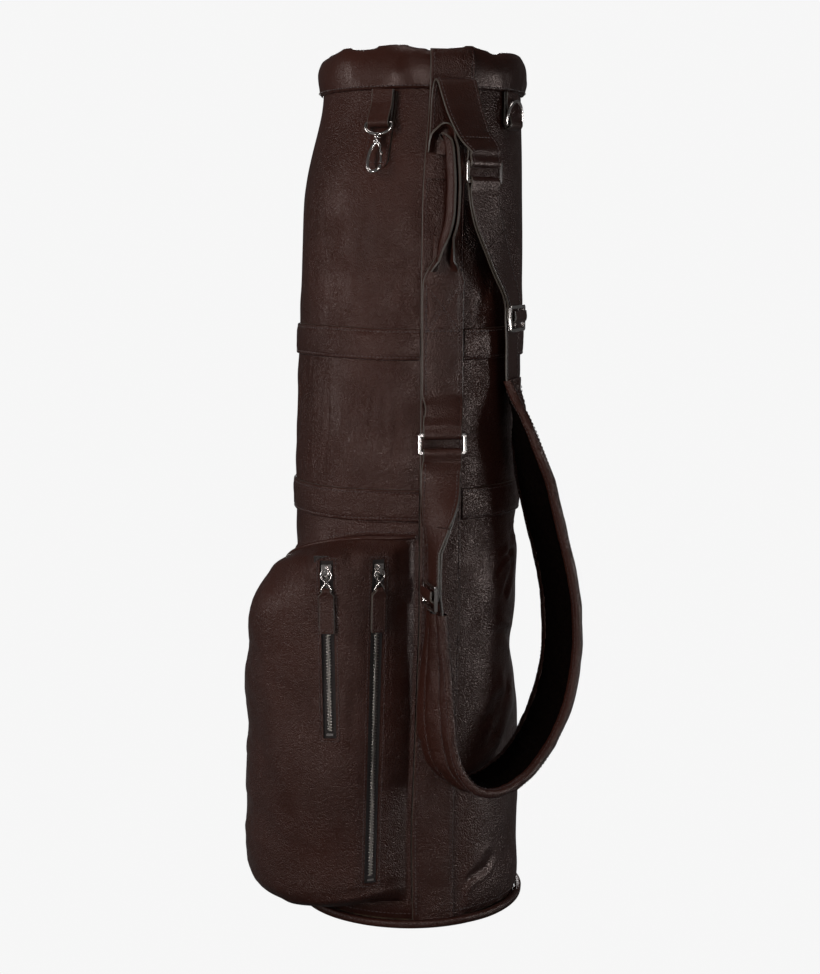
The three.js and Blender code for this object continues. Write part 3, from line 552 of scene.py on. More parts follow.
def pebbled(name, dark, light, roughness=(0.27, 0.43), cell=680.0, depth=0.00078, wrinkle=0.0002, gloss=0.34):
    """Pebbled leather: cells of about 1.5 mm, fine pores between them and slow drawn wrinkles under them."""
    n = Nodes(name)
    bend = n.add("ShaderNodeTexNoise", {"Vector": n.place, "Scale": 260.0, "Detail": 2.0}).outputs["Color"]
    warped = n.add("ShaderNodeVectorMath", {0: bend, 1: (0.0035,) * 3}, operation="MULTIPLY").outputs[0]
    warped = n.add("ShaderNodeVectorMath", {0: n.place, 1: warped}, operation="ADD").outputs[0]
    cells = n.cells(warped, cell, 0.35)
    large = n.cells(warped, cell * 0.42, 0.5)
    pores = n.noise(2600.0, 2.0)
    height = n.math("MULTIPLY_ADD", cells, -1.0, 1.0)
    height = n.math("MULTIPLY_ADD", large, -0.3, height)
    height = n.math("MULTIPLY_ADD", pores, 0.18, height)
    patchy = n.span(n.noise(28.0, 2.0), 0.35, 0.65, 0.45, 1.0)
    height = n.math("MULTIPLY", height, patchy)
    drawn = n.noise(1.0, 3.0, n.scaled(120.0, 120.0, 34.0), 0.6)
    slow = n.bump(drawn, wrinkle, 1.0)
    normal = n.bump(height, depth, 1.0, slow)
    tone = n.math("MULTIPLY_ADD", n.noise(9.0, 3.0), 0.7, n.math("MULTIPLY", n.noise(420.0, 1.0), 0.3))
    color = n.ramp(tone, [(0.34, dark), (0.66, light)])
    worn = n.math("MULTIPLY_ADD", height, -0.25, n.noise(60.0, 3.0))
    rough = n.span(worn, 0.1, 0.65, roughness[1], roughness[0])
    n.set(Base_Color=color, Roughness=rough, Normal=normal)
    return n.set(Specular_IOR_Level=gloss, Specular_Tint=(1.0, 0.80, 0.74, 1))


def edge_paint():
    n = Nodes("painted_edge")
    wear = n.noise(900.0, 3.0)
    color = n.ramp(wear, [
        (0.35, (0.042, 0.031, 0.023)), (0.62, (0.086, 0.067, 0.053)), (0.8, (0.115, 0.094, 0.077))])
    return n.set(Base_Color=color, Roughness=n.span(wear, 0.3, 0.7, 0.5, 0.36), Normal=n.bump(wear, 0.00012))


def thread():
    n = Nodes("thread")
    strands = n.noise(2400.0, 2.0)
    color = n.ramp(strands, [(0.35, (0.030, 0.010, 0.008)), (0.7, (0.085, 0.036, 0.029))])
    return n.set(Base_Color=color, Roughness=0.55, Normal=n.bump(strands, 0.0001), Sheen_Weight=0.3)


def polished(name, color, roughness=(0.07, 0.17), brushed=0.0):
    n = Nodes(name)
    smear = n.noise(70.0, 4.0)
    scratch = n.noise(1.0, 2.0, n.scaled(900.0, 900.0, 3800.0))
    tone = n.ramp(smear, [(0.3, tuple(c * 0.88 for c in color)), (0.7, color)])
    rough = n.span(smear, 0.3, 0.7, roughness[0], roughness[1])
    return n.set(Base_Color=tone, Metallic=1.0, Roughness=rough, Normal=n.bump(scratch, 0.000003 + brushed))


def woven(name, dark, light, pitch=1500.0, sheen=0.4):
    n = Nodes(name)
    weave = n.math("MULTIPLY", n.wave(pitch / 3.14, "Z"), n.wave(pitch / 3.14, "DIAGONAL"))
    tone = n.math("MULTIPLY_ADD", n.noise(300.0, 2.0), 0.5, n.math("MULTIPLY", weave, 0.5))
    color = n.ramp(tone, [(0.2, dark), (0.7, light)])
    return n.set(Base_Color=color, Roughness=0.9, Normal=n.bump(weave, 0.00018), Sheen_Weight=sheen)


def pile(name):
    n = Nodes(name)
    tufts = n.noise(330.0, 4.0, None, 0.7)
    hair = n.noise(1800.0, 2.0)
    tone = n.math("MULTIPLY_ADD", tufts, 0.7, n.math("MULTIPLY", hair, 0.3))
    color = n.ramp(tone, [
        (0.4, (0.0012, 0.0006, 0.0004)), (0.62, (0.0038, 0.0018, 0.0012)), (0.8, (0.010, 0.0048, 0.0030))])
    return n.set(Base_Color=color, Roughness=0.95, Specular_IOR_Level=0.03, Normal=n.bump(tone, 0.0016))


def fibre_board(name, dark, light, scale=240.0):
    n = Nodes(name)
    grain = n.noise(scale, 5.0, None, 0.65)
    color = n.ramp(grain, [(0.3, dark), (0.7, light)])
    return n.set(Base_Color=color, Roughness=0.85, Normal=n.bump(grain, 0.0003))


DARK, LIGHT = (0.0260, 0.0076, 0.0048), (0.0430, 0.0132, 0.0088)
LEATHER = pebbled("leather_pebbled", DARK, LIGHT)
STRAP_DARK, STRAP_LIGHT = (0.0270, 0.0079, 0.0050), (0.0440, 0.0136, 0.0091)
LEATHER_STRAP = pebbled("leather_strap", STRAP_DARK, STRAP_LIGHT, (0.34, 0.5), 600.0, 0.00050, 0.0003)
LEATHER_SMOOTH = pebbled("leather_smooth", STRAP_DARK, LIGHT, (0.28, 0.42), 760.0, 0.00022, 0.0003)
EDGE_PAINT = edge_paint()
THREAD = thread()
NICKEL = polished("nickel", (0.74, 0.68, 0.65), (0.12, 0.22))
ZIP_METAL = polished("zip_metal", (0.40, 0.36, 0.33), (0.28, 0.4), 0.00003)
TAPE = woven("zip_tape", (0.010, 0.0055, 0.0045), (0.026, 0.015, 0.012))
LINING = woven("lining_cloth", (0.018, 0.013, 0.011), (0.040, 0.030, 0.026), 1100.0)
FLEECE = pile("fleece")
FOAM = fibre_board("foam", (0.10, 0.095, 0.09), (0.17, 0.165, 0.16), 700.0)
BOARD = fibre_board("fibre_board", (0.11, 0.07, 0.04), (0.2, 0.14, 0.09))
STEEL = polished("painted_steel", (0.12, 0.12, 0.125), (0.35, 0.5))


def dress_cad(prefixes, material, bevel=0.0):
    """Gives CAD nodes their finish; bevel rounds the edges of hard parts."""
    for name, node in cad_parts.items():
        if not name.startswith(tuple(prefixes)):
            continue
        node.data.materials.clear()
        node.data.materials.append(material)
        if bevel:
            node.modifiers.new("weld", "WELD").merge_threshold = 1e-5
            edge = node.modifiers.new("bevel", "BEVEL")
            edge.width = bevel * MM
            edge.segments = 3
            edge.limit_method = "ANGLE"
            edge.angle_limit = math.radians(35)
            edge.harden_normals = False


# ---------------------------------------------------------------- padding


CLOTH_FRAMES = 20
COLLAR_VOXEL, COLLAR_AIR, COLLAR_RISE, COLLAR_STIFFNESS = 4.0, 40.0, 5.0, 3


def inflate(piece, voxel, pressure, cap, pinned, stiffness=12):
    """Fills a closed padded piece with air as cloth; points where pinned(position in mm) is 1 are sewn down.
    With a voxel size the piece is first meshed evenly and smoothed after; no point moves more than cap."""
    materials = list(piece.data.materials)
    if voxel:
        remesh = piece.modifiers.new("remesh", "REMESH")
        remesh.mode = "VOXEL"
        remesh.voxel_size = voxel * MM
        apply_modifiers(piece)
    start = np.empty(len(piece.data.vertices) * 3)
    piece.data.vertices.foreach_get("co", start)
    start = start.reshape(-1, 3)
    group = piece.vertex_groups.new(name="sewn")
    for index, weight in enumerate(pinned(start / MM)):
        group.add([index], float(weight), "REPLACE")
    cloth = piece.modifiers.new("cloth", "CLOTH")
    cloth.settings.quality = 5
    cloth.settings.mass = 0.3
    cloth.settings.tension_stiffness = stiffness
    cloth.settings.compression_stiffness = stiffness
    cloth.settings.shear_stiffness = 5
    cloth.settings.bending_stiffness = 0.5
    cloth.settings.use_pressure = True
    cloth.settings.uniform_pressure_force = pressure
    cloth.settings.vertex_group_mass = "sewn"
    cloth.settings.effector_weights.gravity = 0
    cloth.collision_settings.use_collision = False
    cloth.point_cache.frame_start = 1
    cloth.point_cache.frame_end = CLOTH_FRAMES
    for step in range(1, CLOTH_FRAMES + 1):
        bpy.context.scene.frame_set(step)
    graph = bpy.context.evaluated_depsgraph_get()
    filled = piece.evaluated_get(graph).to_mesh()
    end = np.empty(len(filled.vertices) * 3)
    filled.vertices.foreach_get("co", end)
    end = end.reshape(-1, 3)
    piece.evaluated_get(graph).to_mesh_clear()
    piece.modifiers.clear()
    bpy.context.scene.frame_set(1)
    move = end - start
    size = np.linalg.norm(move, axis=1, keepdims=True)
    move = move * np.minimum(1, cap * MM / np.maximum(size, 1e-9))
    piece.data.vertices.foreach_set("co", (start + move).ravel())
    piece.vertex_groups.clear()
    if voxel:
        finer = piece.modifiers.new("finer", "SUBSURF")
        finer.levels = finer.render_levels = 1
        apply_modifiers(piece)
    piece.data.materials.clear()
    for material in materials:
        piece.data.materials.append(material)
    piece.data.polygons.foreach_set("use_smooth", [True] * len(piece.data.polygons))


# ---------------------------------------------------------------- tube


def wall_rows(angles, outer_z, inner_z, outer, inner):
    """Rows of wall outlines round the tube: up the outside and down the inside."""
    a_out, z_out = np.meshgrid(angles, outer_z, indexing="ij")
    a_in, z_in = np.meshgrid(angles, inner_z[::-1], indexing="ij")
    return np.concatenate([polar(a_out, outer(a_out, z_out), z_out), polar(a_in, inner(a_in, z_in), z_in)], 1)


def build_body():
    angles = np.linspace(-180, 180, 344, endpoint=False)
    outer_z = np.concatenate([[9.4], np.arange(11, 846, 2.3), [848]])
    rows = wall_rows(angles, outer_z, np.linspace(9.4, 848, 40),
                     lambda a, z: tube_radius(z) + body_relief(a, z), lambda a, z: tube_radius(z) - 8 + 0 * a)
    body = loft("body_leather", rows, [LEATHER], looped=True, smooth_angle=60)
    settle(body, "leather", "bag", "body_shell")
    z = np.linspace(12, 846, 90)

    def lining_out(a, h):
        return tube_radius(h) - 8.6 + 0 * a

    def lining_in(a, h):
        return tube_radius(h) - 10 + 0.7 * fbm(polar(a, tube_radius(h), h) / (40.0, 40.0, 90.0), 8, 2)

    rows = wall_rows(np.linspace(-180, 180, 120, endpoint=False), z, z, lining_in, lining_out)
    lining = loft("body_lining_cloth", rows, [LINING], looped=True)
    settle(lining, "lining_cloth", "bag", "body_lining")


def build_spine():
    """Raised strip: its left edge stands up with a painted edge, its right edge is sewn down."""
    z = np.concatenate([[9.6], np.arange(12, 874, 2.6), [876]])
    share = [0, 0.006, 0.02, 0.05, 0.1, 0.2, 0.35, 0.5, 0.65, 0.8, 0.9, 0.925, 0.95, 0.975, 0.99, 1.0]
    lift_left = [1.6, 2.8, 3.5, 3.7, 3.4, 3.0, 2.7, 2.6, 2.6, 2.6, 2.5, 2.0, 2.3, 2.1, 1.5, 0.7]
    shares = np.interp(np.linspace(0, 15, 46), np.arange(16), share)
    lifts = np.interp(np.linspace(0, 15, 46), np.arange(16), lift_left)
    step = np.clip((z - 825) / 11, 0, 1)
    centre, half = spine_angle(z), half_spine(z)
    wave = 0.9 * value_noise(stack(z / 40, 0 * z, 0 * z), 71)
    rows = []
    for zi, c, h, s, w in zip(z, centre, half, step, wave):
        angle = c - h + 2 * h * shares
        base = (1 - s) * (tube_radius(zi) + body_relief(angle, zi) * 0.5) + s * (cuff_radius(zi) + 0.2)
        ripple = 0.5 * fbm(stack(angle * 2 / 14, 0 * angle, zi / 22 + 0 * angle), 73, 2)
        middle = np.sin(np.pi * np.clip(shares, 0, 1)) ** 0.5
        outer = base + lifts * (1 + 0.12 * w * (1 - shares)) + ripple * middle
        inner = base + np.interp(shares, [0, 0.1, 1], [0.9, 0.4, 0.3])
        outside = polar(angle, outer, zi)
        inside = polar(angle, inner, zi)[::-1]
        rows.append(np.concatenate([outside, inside]))
    count = 2 * len(shares)
    flags = np.zeros(count, int)
    flags[:5] = 1
    flags[-1] = 1
    piece = edged("spine_leather", rows, flags, 55, LEATHER)
    settle(piece, "leather", "bag", "spine_strip")
    threads = Threads()
    for share_at, lift in ((0.937, 2.15), (0.085, 3.35)):
        angle = centre - half + 2 * half * share_at
        base = (1 - step) * (tube_radius(z) + body_relief(angle, z) * 0.5) + step * (cuff_radius(z) + 0.2)
        threads.row(polar(angle, base + lift, z)[2:-1], out_at(angle)[2:-1], pitch=3.9, length=2.8)
    threads.build("spine_stitching", "bag")


def build_bands():
    share = np.array([0, 0.01, 0.03, 0.07, 0.1, 0.14, 0.25, 0.4, 0.6, 0.75, 0.86, 0.9, 0.93, 0.97, 0.99, 1])
    lift = np.array([0.5, 1.6, 2.3, 2.6, 2.1, 2.6, 2.9, 3.0, 3.0, 2.9, 2.6, 2.1, 2.6, 2.3, 1.6, 0.5])
    threads = Threads()
    for name, (low, high) in (("band_upper", BAND_UPPER), ("band_lower", BAND_LOWER)):
        start = float(spine_angle((low + high) / 2) + half_spine((low + high) / 2)) + 0.4
        end = float(spine_angle((low + high) / 2) - half_spine((low + high) / 2)) + 359.6
        angles = np.linspace(start, end, 300)
        around = round_tube(angles, 0 * angles + low)
        wander = 1.3 * fbm(around / (90.0, 90.0, 1.0), 81, 2)
        rows = []
        for k, a in enumerate(angles):
            h = low + (high - low) * share + wander[k]
            base = under_trim(a, h)
            ripple = 0.35 * fbm(stack(around[k, 0] / 14 + 0 * h, around[k, 1] / 14 + 0 * h, h / 10), 83, 2)
            outside = polar(a, base + lift + ripple * (lift > 2.2), h)
            inside = polar(a, base - 1.2 + 0 * h, h)[::-1]
            rows.append(np.concatenate([outside, inside]))
        flags = np.zeros(32, int)
        flags[[0, 14]] = 1
        piece = edged(name + "_leather", rows, flags, 50, LEATHER)
        settle(piece, "leather", "bag", name)
        for share_at in (0.1, 0.9):
            h = low + (high - low) * share_at + wander
            threads.row(polar(angles, under_trim(angles, h) + 2.15, h), out_at(angles), pitch=3.9, length=2.8)
    threads.build("band_stitching", "bag")


def collar_wave(angle):
    """Rim height and roll of the padded collar round the mouth, in mm."""
    around = stack(np.sin(np.radians(angle)), -np.cos(np.radians(angle)), 0 * np.asarray(angle, float))
    rise = 2.2 * fbm(around * 1.9, 91, 2) - 3.6 * bell(angle, -97, 22) - 3.2 * bell(angle, 76, 10)
    rise = rise + 3.6 * bell(angle, -66, 10) - 3.6 * bell(angle, 28, 9) + 5.2 * bell(angle, -31, 15)
    rise = rise + 3.4 * bell(angle, 10, 20) - 1.6 * bell(angle, -10, 6) + 1.5 * bell(angle, 52, 12)
    roll = 1.6 * fbm(around * 2.6, 95, 2)
    return rise, roll


def build_collar():
    profile = np.array([
        (101.4, 836.5), (103.1, 836.4), (104.3, 838), (104.7, 841), (105.2, 844.5), (106.0, 849),
        (106.5, 855), (106.2, 861), (105.2, 866.5), (103.4, 871.5), (100.8, 875.3), (97.6, 877.0),
        (94.6, 875.8), (92.6, 872.0), (92.0, 866.0), (92.3, 858.0), (92.8, 850.0), (93.2, 842.0),
        (93.4, 839.6), (95.2, 839.8), (98.8, 838.6),
    ])
    t = np.linspace(0, len(profile), 64, endpoint=False)
    i = t.astype(int)
    p = [np.roll(profile, 1 - k, 0)[i] for k in range(4)]
    w = (t - i)[:, None]
    curve = 0.5 * (2 * p[1] + (p[2] - p[0]) * w + (2 * p[0] - 5 * p[1] + 4 * p[2] - p[3]) * w**2
                   + (3 * p[1] - p[0] - 3 * p[2] + p[3]) * w**3)
    angles = np.linspace(-180, 180, 420, endpoint=False)
    rise, roll = collar_wave(angles)
    share = np.clip((curve[:, 1] - 838) / 38, 0, 1)
    rows = []
    for a, up, out in zip(angles, rise, roll):
        turn = math.radians(a)
        around = stack(100 * math.sin(turn) + 0 * share, -100 * math.cos(turn) + 0 * share, curve[:, 1])
        outside = smooth((curve[:, 0] - 98) / 4)
        pucker = -0.7 * ridged(around / (7.0, 7.0, 26.0), 97, 3.0) * bell(share, 0.22, 0.3) * outside
        folds = 1.1 * fbm(around / (24.0, 24.0, 16.0), 99, 2) * smooth(share * 3)
        seam = -0.8 * bell(a, float(spine_angle(860) - half_spine(860)) - 0.5, 0.8) * outside
        push = (out * share + pucker + folds + seam) * (outside * 2 - 1)
        radius = curve[:, 0] + push * np.where(outside > 0.5, 1, 0.5)
        height = curve[:, 1] + up * share
        rows.append(polar(a, radius, height))
    piece = loft("collar_leather", np.array(rows), [LEATHER_SMOOTH], looped=True, smooth_angle=60)

    def sewn(points):
        angle = np.degrees(np.arctan2(points[:, 0] - tube_lean(points[:, 2]), -points[:, 1]))
        low = 1 - smooth((points[:, 2] - 844) / 9)
        inside = 1 - smooth((np.hypot(points[:, 0] - 13, points[:, 1]) - 96) / 3)
        return np.maximum(np.maximum(low, inside), window(angle, -14, 14, 6))

    inflate(piece, COLLAR_VOXEL, COLLAR_AIR, COLLAR_RISE, sewn, COLLAR_STIFFNESS)
    settle(piece, "leather", "bag", "top_cuff", "cuff_padding")
    threads = Threads()
    ring = np.concatenate([angles[angles > 12], angles[angles < -12] + 360])
    z = 841.2 + 0 * ring
    threads.row(polar(ring, 104.9 + 0 * ring, z), out_at(ring), pitch=4.0, length=2.9)
    threads.build("collar_stitching", "bag")


def build_base():
    t = np.linspace(0, 2 * math.pi, 20, endpoint=False)
    angles = np.linspace(-180, 180, 300, endpoint=False)
    rows = []
    for a in angles:
        around = stack(math.sin(math.radians(a)), -math.cos(math.radians(a)), 0.0)
        wave = float(value_noise(around * 4.0, 101))
        square = np.sign(np.cos(t)) * np.abs(np.cos(t)) ** 0.7, np.sign(np.sin(t)) * np.abs(np.sin(t)) ** 0.7
        radius = 116.2 + (3.4 + 0.3 * wave) * square[0]
        height = 4.8 + 4.2 * square[1] + 0.35 * wave
        rows.append(polar(a, radius, height) - (tube_lean(height)[:, None] * (1, 0, 0)))
    welt = loft("base_welt", np.array(rows), [LEATHER_STRAP], looped=True)
    settle(welt, "leather", "bag", "base_piping")
    threads = Threads()
    z = 15.5 + 0 * angles
    path = polar(angles, tube_radius(z) + body_relief(angles, z) + 0.1, z)
    threads.row(path, out_at(angles), pitch=4.2, length=3.0)
    threads.row(polar(angles, 119.4 + 0 * angles, 6.6 + 0 * z), out_at(angles), pitch=4.2, length=3.0)
    threads.build("base_stitching", "bag")


def build_divider():
    """Leather-covered bar across the mouth, with the seam of its cover along the underside."""
    x = np.linspace(-90.6, 90.6, 120)
    t = np.linspace(0, 2 * math.pi, 24, endpoint=False)
    rows = []
    for xi in x:
        end = max(1 - max(abs(xi) - 85.0, 0) ** 2 / 5.6**2, 0.02) ** 0.5
        bumps = 1 + 0.03 * fbm(stack(xi / 9 + 0 * t, np.cos(t), np.sin(t)), 111, 2)
        seam = 1 - 0.10 * bell(np.abs((t + math.pi) % (2 * math.pi) - math.pi - 0.0), math.pi / 2, 0.12)
        y, z = 5.1 * end * np.cos(t) * bumps, 858 + 8.3 * end * np.sin(t) * bumps * seam
        rows.append(stack(xi + tube_lean(858) + 0 * t, y, z))
    piece = loft("divider_cover", np.array(rows), [LEATHER_SMOOTH])
    settle(piece, "leather", "bag", "divider_bar")


# ---------------------------------------------------------------- side pocket

POCKET_ARC = 232.0
POCKET_DEPTH = 60.0
POCKET_CORNER = 60.0
# depth, then centre and spread along the arc and up
POCKET_FOLDS = [
    (3.2, (138, 26), (318, 26)), (-4.2, (160, 30), (283, 24)), (-3.4, (168, 40), (197, 20)),
    (1.6, (150, 40), (235, 26)), (1.2, (120, 22), (330, 20)),
]
POCKET_BOTTOM = [(0, 31), (30, 29), (75, 17), (98, 12), (125, 10), (150, 10), (POCKET_ARC, 10)]
ZIPS = {
    "zip_short": dict(o=(-119.2333, -121.2781, 383), x=(0.9247, -0.3805, 0.0119), y=(-0.016, -0.0076, 0.9998),
                      z=(-0.3803, -0.9248, -0.0131), length=170.0),
    "zip_long": dict(o=(-68.5977, -129.1902, 383), x=(0.9958, 0.0889, -0.0211), y=(0.0233, -0.0235, 0.9995),
                     z=(0.0883, -0.9958, -0.0255), length=322.1),
}


def corner_drop(arc):
    reach = np.clip((arc - (POCKET_ARC - POCKET_CORNER)) / POCKET_CORNER, 0, 1)
    return POCKET_CORNER * (1 - np.sqrt(1 - reach * reach))


def pocket_top(arc):
    return 418 - 52 * (np.maximum(arc - 45, 0) / 145) ** 1.6 - corner_drop(arc)


def pocket_bottom(arc):
    return np.interp(arc, [p[0] for p in POCKET_BOTTOM], [p[1] for p in POCKET_BOTTOM]) + corner_drop(arc)


def rounded(distance, reach):
    """Quarter-round rise from 0 at distance 0 to 1 at reach."""
    left = 1 - np.clip(distance / reach, 0, 1)
    return np.sqrt(1 - left * left)


def pillow(arc, z, inset):
    """Share of the pocket's full depth at a point of its outline, 0 at the sewn edges."""
    spread = np.minimum(arc / 190, 1) ** 3
    near = np.sin(math.pi / 2 * np.clip((arc - 4 - inset) / 100, 0, 1))
    far = rounded(POCKET_ARC - arc - 12 - inset, 85)
    top = rounded(pocket_top(arc) - z - 12 - inset, 24 + 106 * (arc / 190) ** 2 + 26 * spread)
    bottom = rounded(z - pocket_bottom(arc) - 3 - inset, 15 + 46 * (arc / 190) ** 2)
    return near * far * top * bottom


def pocket_relief(arc, z, rise):
    """Slack and folds of the pocket's leather; rise is the share of full depth."""
    p = stack(arc, 0 * arc, z)
    relief = 2.2 * fbm(p / (70.0, 1.0, 80.0), 121, 2)
    for depth, (at, wide), (high, tall) in POCKET_FOLDS:
        relief = relief + depth * bell(arc, at, wide) * bell(z, high, tall)
    relief = relief + 1.4 * fbm(p / (22.0, 1.0, 26.0), 125, 2) * window(arc, 90, 240, 60)
    gathered = window(arc, -5, 34, 16) * window(z, 280, 400, 30)
    relief = relief - 0.7 * ridged(p / (26.0, 1.0, 9.0), 127, 4.0) * gathered
    relief = relief - 0.6 * ridged(p / (30.0, 1.0, 14.0), 129, 4.0) * window(arc, 96, 230, 40)
    relief = relief - 0.5 * ridged(p / (60.0, 1.0, 13.0), 131, 3.0) * window(z, 20, 90, 30)
    edge_top = pocket_top(arc) - z
    relief = relief - 2.6 * bell(edge_top, 17.5, 3.0) * window(arc, 3, 190, 12)
    relief = relief + 1.4 * bell(edge_top, 24.0, 5.0) * window(arc, 3, 150, 12)
    edge_low = z - pocket_bottom(arc)
    relief = relief - 1.6 * bell(edge_low, 22.0, 3.5) * window(arc, 2, 110, 20)
    return relief * smooth(rise * 3.0)


def pocket_point(arc, z, inside=False):
    angle = spine_angle(z) - half_spine(z) - 0.5 - np.degrees(arc / 115)
    rise = pillow(arc, z, 2.5 if inside else 0.0)
    lift = POCKET_DEPTH * rise + (0.0 if inside else 2.5) + pocket_relief(arc, z, rise)
    if not inside:
        lift = lift + zip_relief(angle, arc, z, lift)
    return polar(angle, tube_radius(z) + 0.9 + lift, z)


def zip_relief(angle, arc, z, lift):
    """The leather is turned in round each slot: a soft raised frame with a pressed stitch line."""
    point = polar(angle, tube_radius(z) + 0.9 + lift, z)
    total = 0.0
    for spec in ZIPS.values():
        away = point - np.array(spec["o"])
        x = np.abs(away @ np.array(spec["x"])) - 6.5
        y = away @ np.array(spec["y"])
        y = np.maximum(y - 3.0, -spec["length"] - 5.0 - y)
        gap = np.where((x > 0) & (y > 0), np.hypot(np.maximum(x, 0), np.maximum(y, 0)), np.maximum(x, y))
        near = bell(gap, 1.0, 1.3) * 0.7 - bell(gap, 2.7, 0.6) * 0.45 + 0.35 * bell(gap, 4.2, 1.0)
        total = total + near
    return total


def flush_to_zip(points, spec, reach=11.0):
    """Flattens leather near a zip onto the zip's plane, so that the slot's edges lie true."""
    o, x, y, z = (np.array(spec[k]) for k in "oxyz")
    away = points - o
    across, up, height = away @ x, away @ y, away @ z
    keep = window(across, -reach - 7, reach + 7, 12) * window(up, -spec["length"] - 12, 10, 8)
    target = np.clip(height, -0.4, 0.15)
    return points + (keep * np.clip(target - height, -4, 9))[..., None] * z


def build_pocket():
    arcs = np.unique(np.concatenate([
        np.linspace(0, 12, 9), np.arange(13.5, 108, 1.6), np.linspace(108, 212, 62),
        np.linspace(213, POCKET_ARC, 16)]))
    low = np.array([0, 6, 12, 13, 14.5, 16.5, 19, 22, 26, 30, 34, 39, 44, 50, 56, 64, 72], float)
    high = [0, 6, 12, 13, 14.5, 16.0, 17.5, 19, 21.5, 24, 27, 31, 36, 42, 49, 57, 66, 76, 86, 96]
    high = np.array(high, float)
    rows = []
    for arc in arcs:
        bottom, top = float(pocket_bottom(arc)), float(pocket_top(arc))
        middle = np.linspace(bottom + 72, top - 96, 92)[1:-1]
        z = np.concatenate([bottom + low, middle, top - high[::-1]])
        outside = pocket_point(arc + 0 * z, z)
        for spec in ZIPS.values():
            outside = flush_to_zip(outside, spec)
        inside = pocket_point(arc + 0 * z, z, True)[::-1]
        rows.append(np.concatenate([outside, inside]))
    shell = loft("pocket_leather", np.array(rows), [LEATHER, LEATHER_STRAP], ladder=True)
    for spec in ZIPS.values():
        cut_box(shell, spec, 13.0, spec["length"] + 8, 9.0, -spec["length"] / 2 - 1)
    shell.data.polygons.foreach_set("use_smooth", [True] * len(shell.data.polygons))
    shell.data.set_sharp_from_angle(angle=math.radians(48))
    settle(shell, "leather", "bag", "pocket_shell")

    arc = np.linspace(3, 208, 150)
    z = pocket_top(arc) - 13.6
    path = pocket_point(arc, z)
    out = unit(path - stack(tube_lean(z), 0 * z, z))
    welt = tube_path("pocket_welt", path + out * 1.1, 2.1, [LEATHER_SMOOTH], normal=(0.3, -1, 0.2))
    settle(welt, "leather", "bag", "pocket_piping")

    threads = Threads()
    z = pocket_top(arc) - 9.2
    threads.row(pocket_point(arc, z) + out * 0.1, out, pitch=4.0, length=2.9)
    low_arc = np.linspace(6, 200, 120)
    z = pocket_bottom(low_arc) + 2.2
    path = pocket_point(low_arc, z)
    threads.row(path, unit(path - stack(tube_lean(z), 0 * z, z)), pitch=4.0, length=2.9)
    for spec in ZIPS.values():
        o, x, y, n = (np.array(spec[k]) for k in "oxyz")
        side, top, foot = 9.2, 5.7, -spec["length"] - 7.7
        corners = [(-side, top), (-side, foot), (side, foot), (side, top), (-side, top)]
        for (xa, ya), (xb, yb) in zip(corners, corners[1:]):
            t = np.linspace(0, 1, 60)[:, None]
            line = o + x * (xa + (xb - xa) * t) + y * (ya + (yb - ya) * t) + n * 0.15
            threads.row(line, np.broadcast_to(n, line.shape), pitch=3.3, length=2.4, radius=0.36)
    threads.build("pocket_stitching", "bag")


def cut_box(piece, spec, width, length, depth, middle):
    """Cuts a straight slot, centred at middle along the zip, through the piece's outer wall."""
    o, x, y, z = (np.array(spec[k]) for k in "oxyz")
    corners = [o + x * (sx * width / 2) + y * (middle + sy * length / 2) + z * (sz * depth)
               for sx in (-1, 1) for sy in (-1, 1) for sz in (-1, 1)]
    faces = [[0, 1, 3, 2], [4, 6, 7, 5], [0, 4, 5, 1], [2, 3, 7, 6], [0, 2, 6, 4], [1, 5, 7, 3]]
    tool = make("slot_tool", corners, faces, [])
    cutter = piece.modifiers.new("slot", "BOOLEAN")
    cutter.operation = "DIFFERENCE"
    cutter.solver = "MANIFOLD"
    cutter.object = tool
    apply_modifiers(piece)
    bpy.data.objects.remove(tool)


def apply_modifiers(piece):
    graph = bpy.context.evaluated_depsgraph_get()
    mesh = bpy.data.meshes.new_from_object(piece.evaluated_get(graph))
    piece.modifiers.clear()
    piece.data = mesh


# ---------------------------------------------------------------- zips


def in_zip(spec, points):
    return in_frame([np.array(spec[k]) for k in "oxyz"], points)


TOOTH = np.array([
    (-0.5, -0.62), (0.5, -0.62), (0.62, -0.2), (0.62, 0.45),
    (0.35, 0.72), (-0.35, 0.72), (-0.62, 0.45), (-0.62, -0.2),
])
# distance across the chain and size of each section of a tooth
TOOTH_SECTIONS = ((2.3, 0.8), (2.1, 0.95), (-0.2, 0.95), (-1.1, 0.8), (-1.35, 0.5))
TOOTH_PITCH = 1.5


def build_teeth(name, spec):
    """Two rows of separate metal teeth that close into each other."""
    verts, faces = [], []
    count = int((spec["length"] - 14) / TOOTH_PITCH)
    n = len(TOOTH)
    for k in range(count):
        side = 1 if k % 2 else -1
        y = -12.5 - TOOTH_PITCH * k
        base = len(verts)
        for x, size in TOOTH_SECTIONS:
            for dy, dz in TOOTH:
                verts.append((x * side, y + dy * size, -1.15 + dz * 1.05 * size))
        for ring in range(4):
            for j in range(n):
                j2 = (j + 1) % n
                near, far = base + ring * n, base + (ring + 1) * n
                faces.append([near + j, near + j2, far + j2, far + j])
        faces.append([base + j for j in range(n)])
        faces.append([base + 4 * n + j for j in range(n)][::-1])
    piece = make(name + "_metal_teeth", in_zip(spec, verts), faces, [ZIP_METAL], smooth_angle=40)
    settle(piece, "zip_steel", "bag", name + "_teeth")


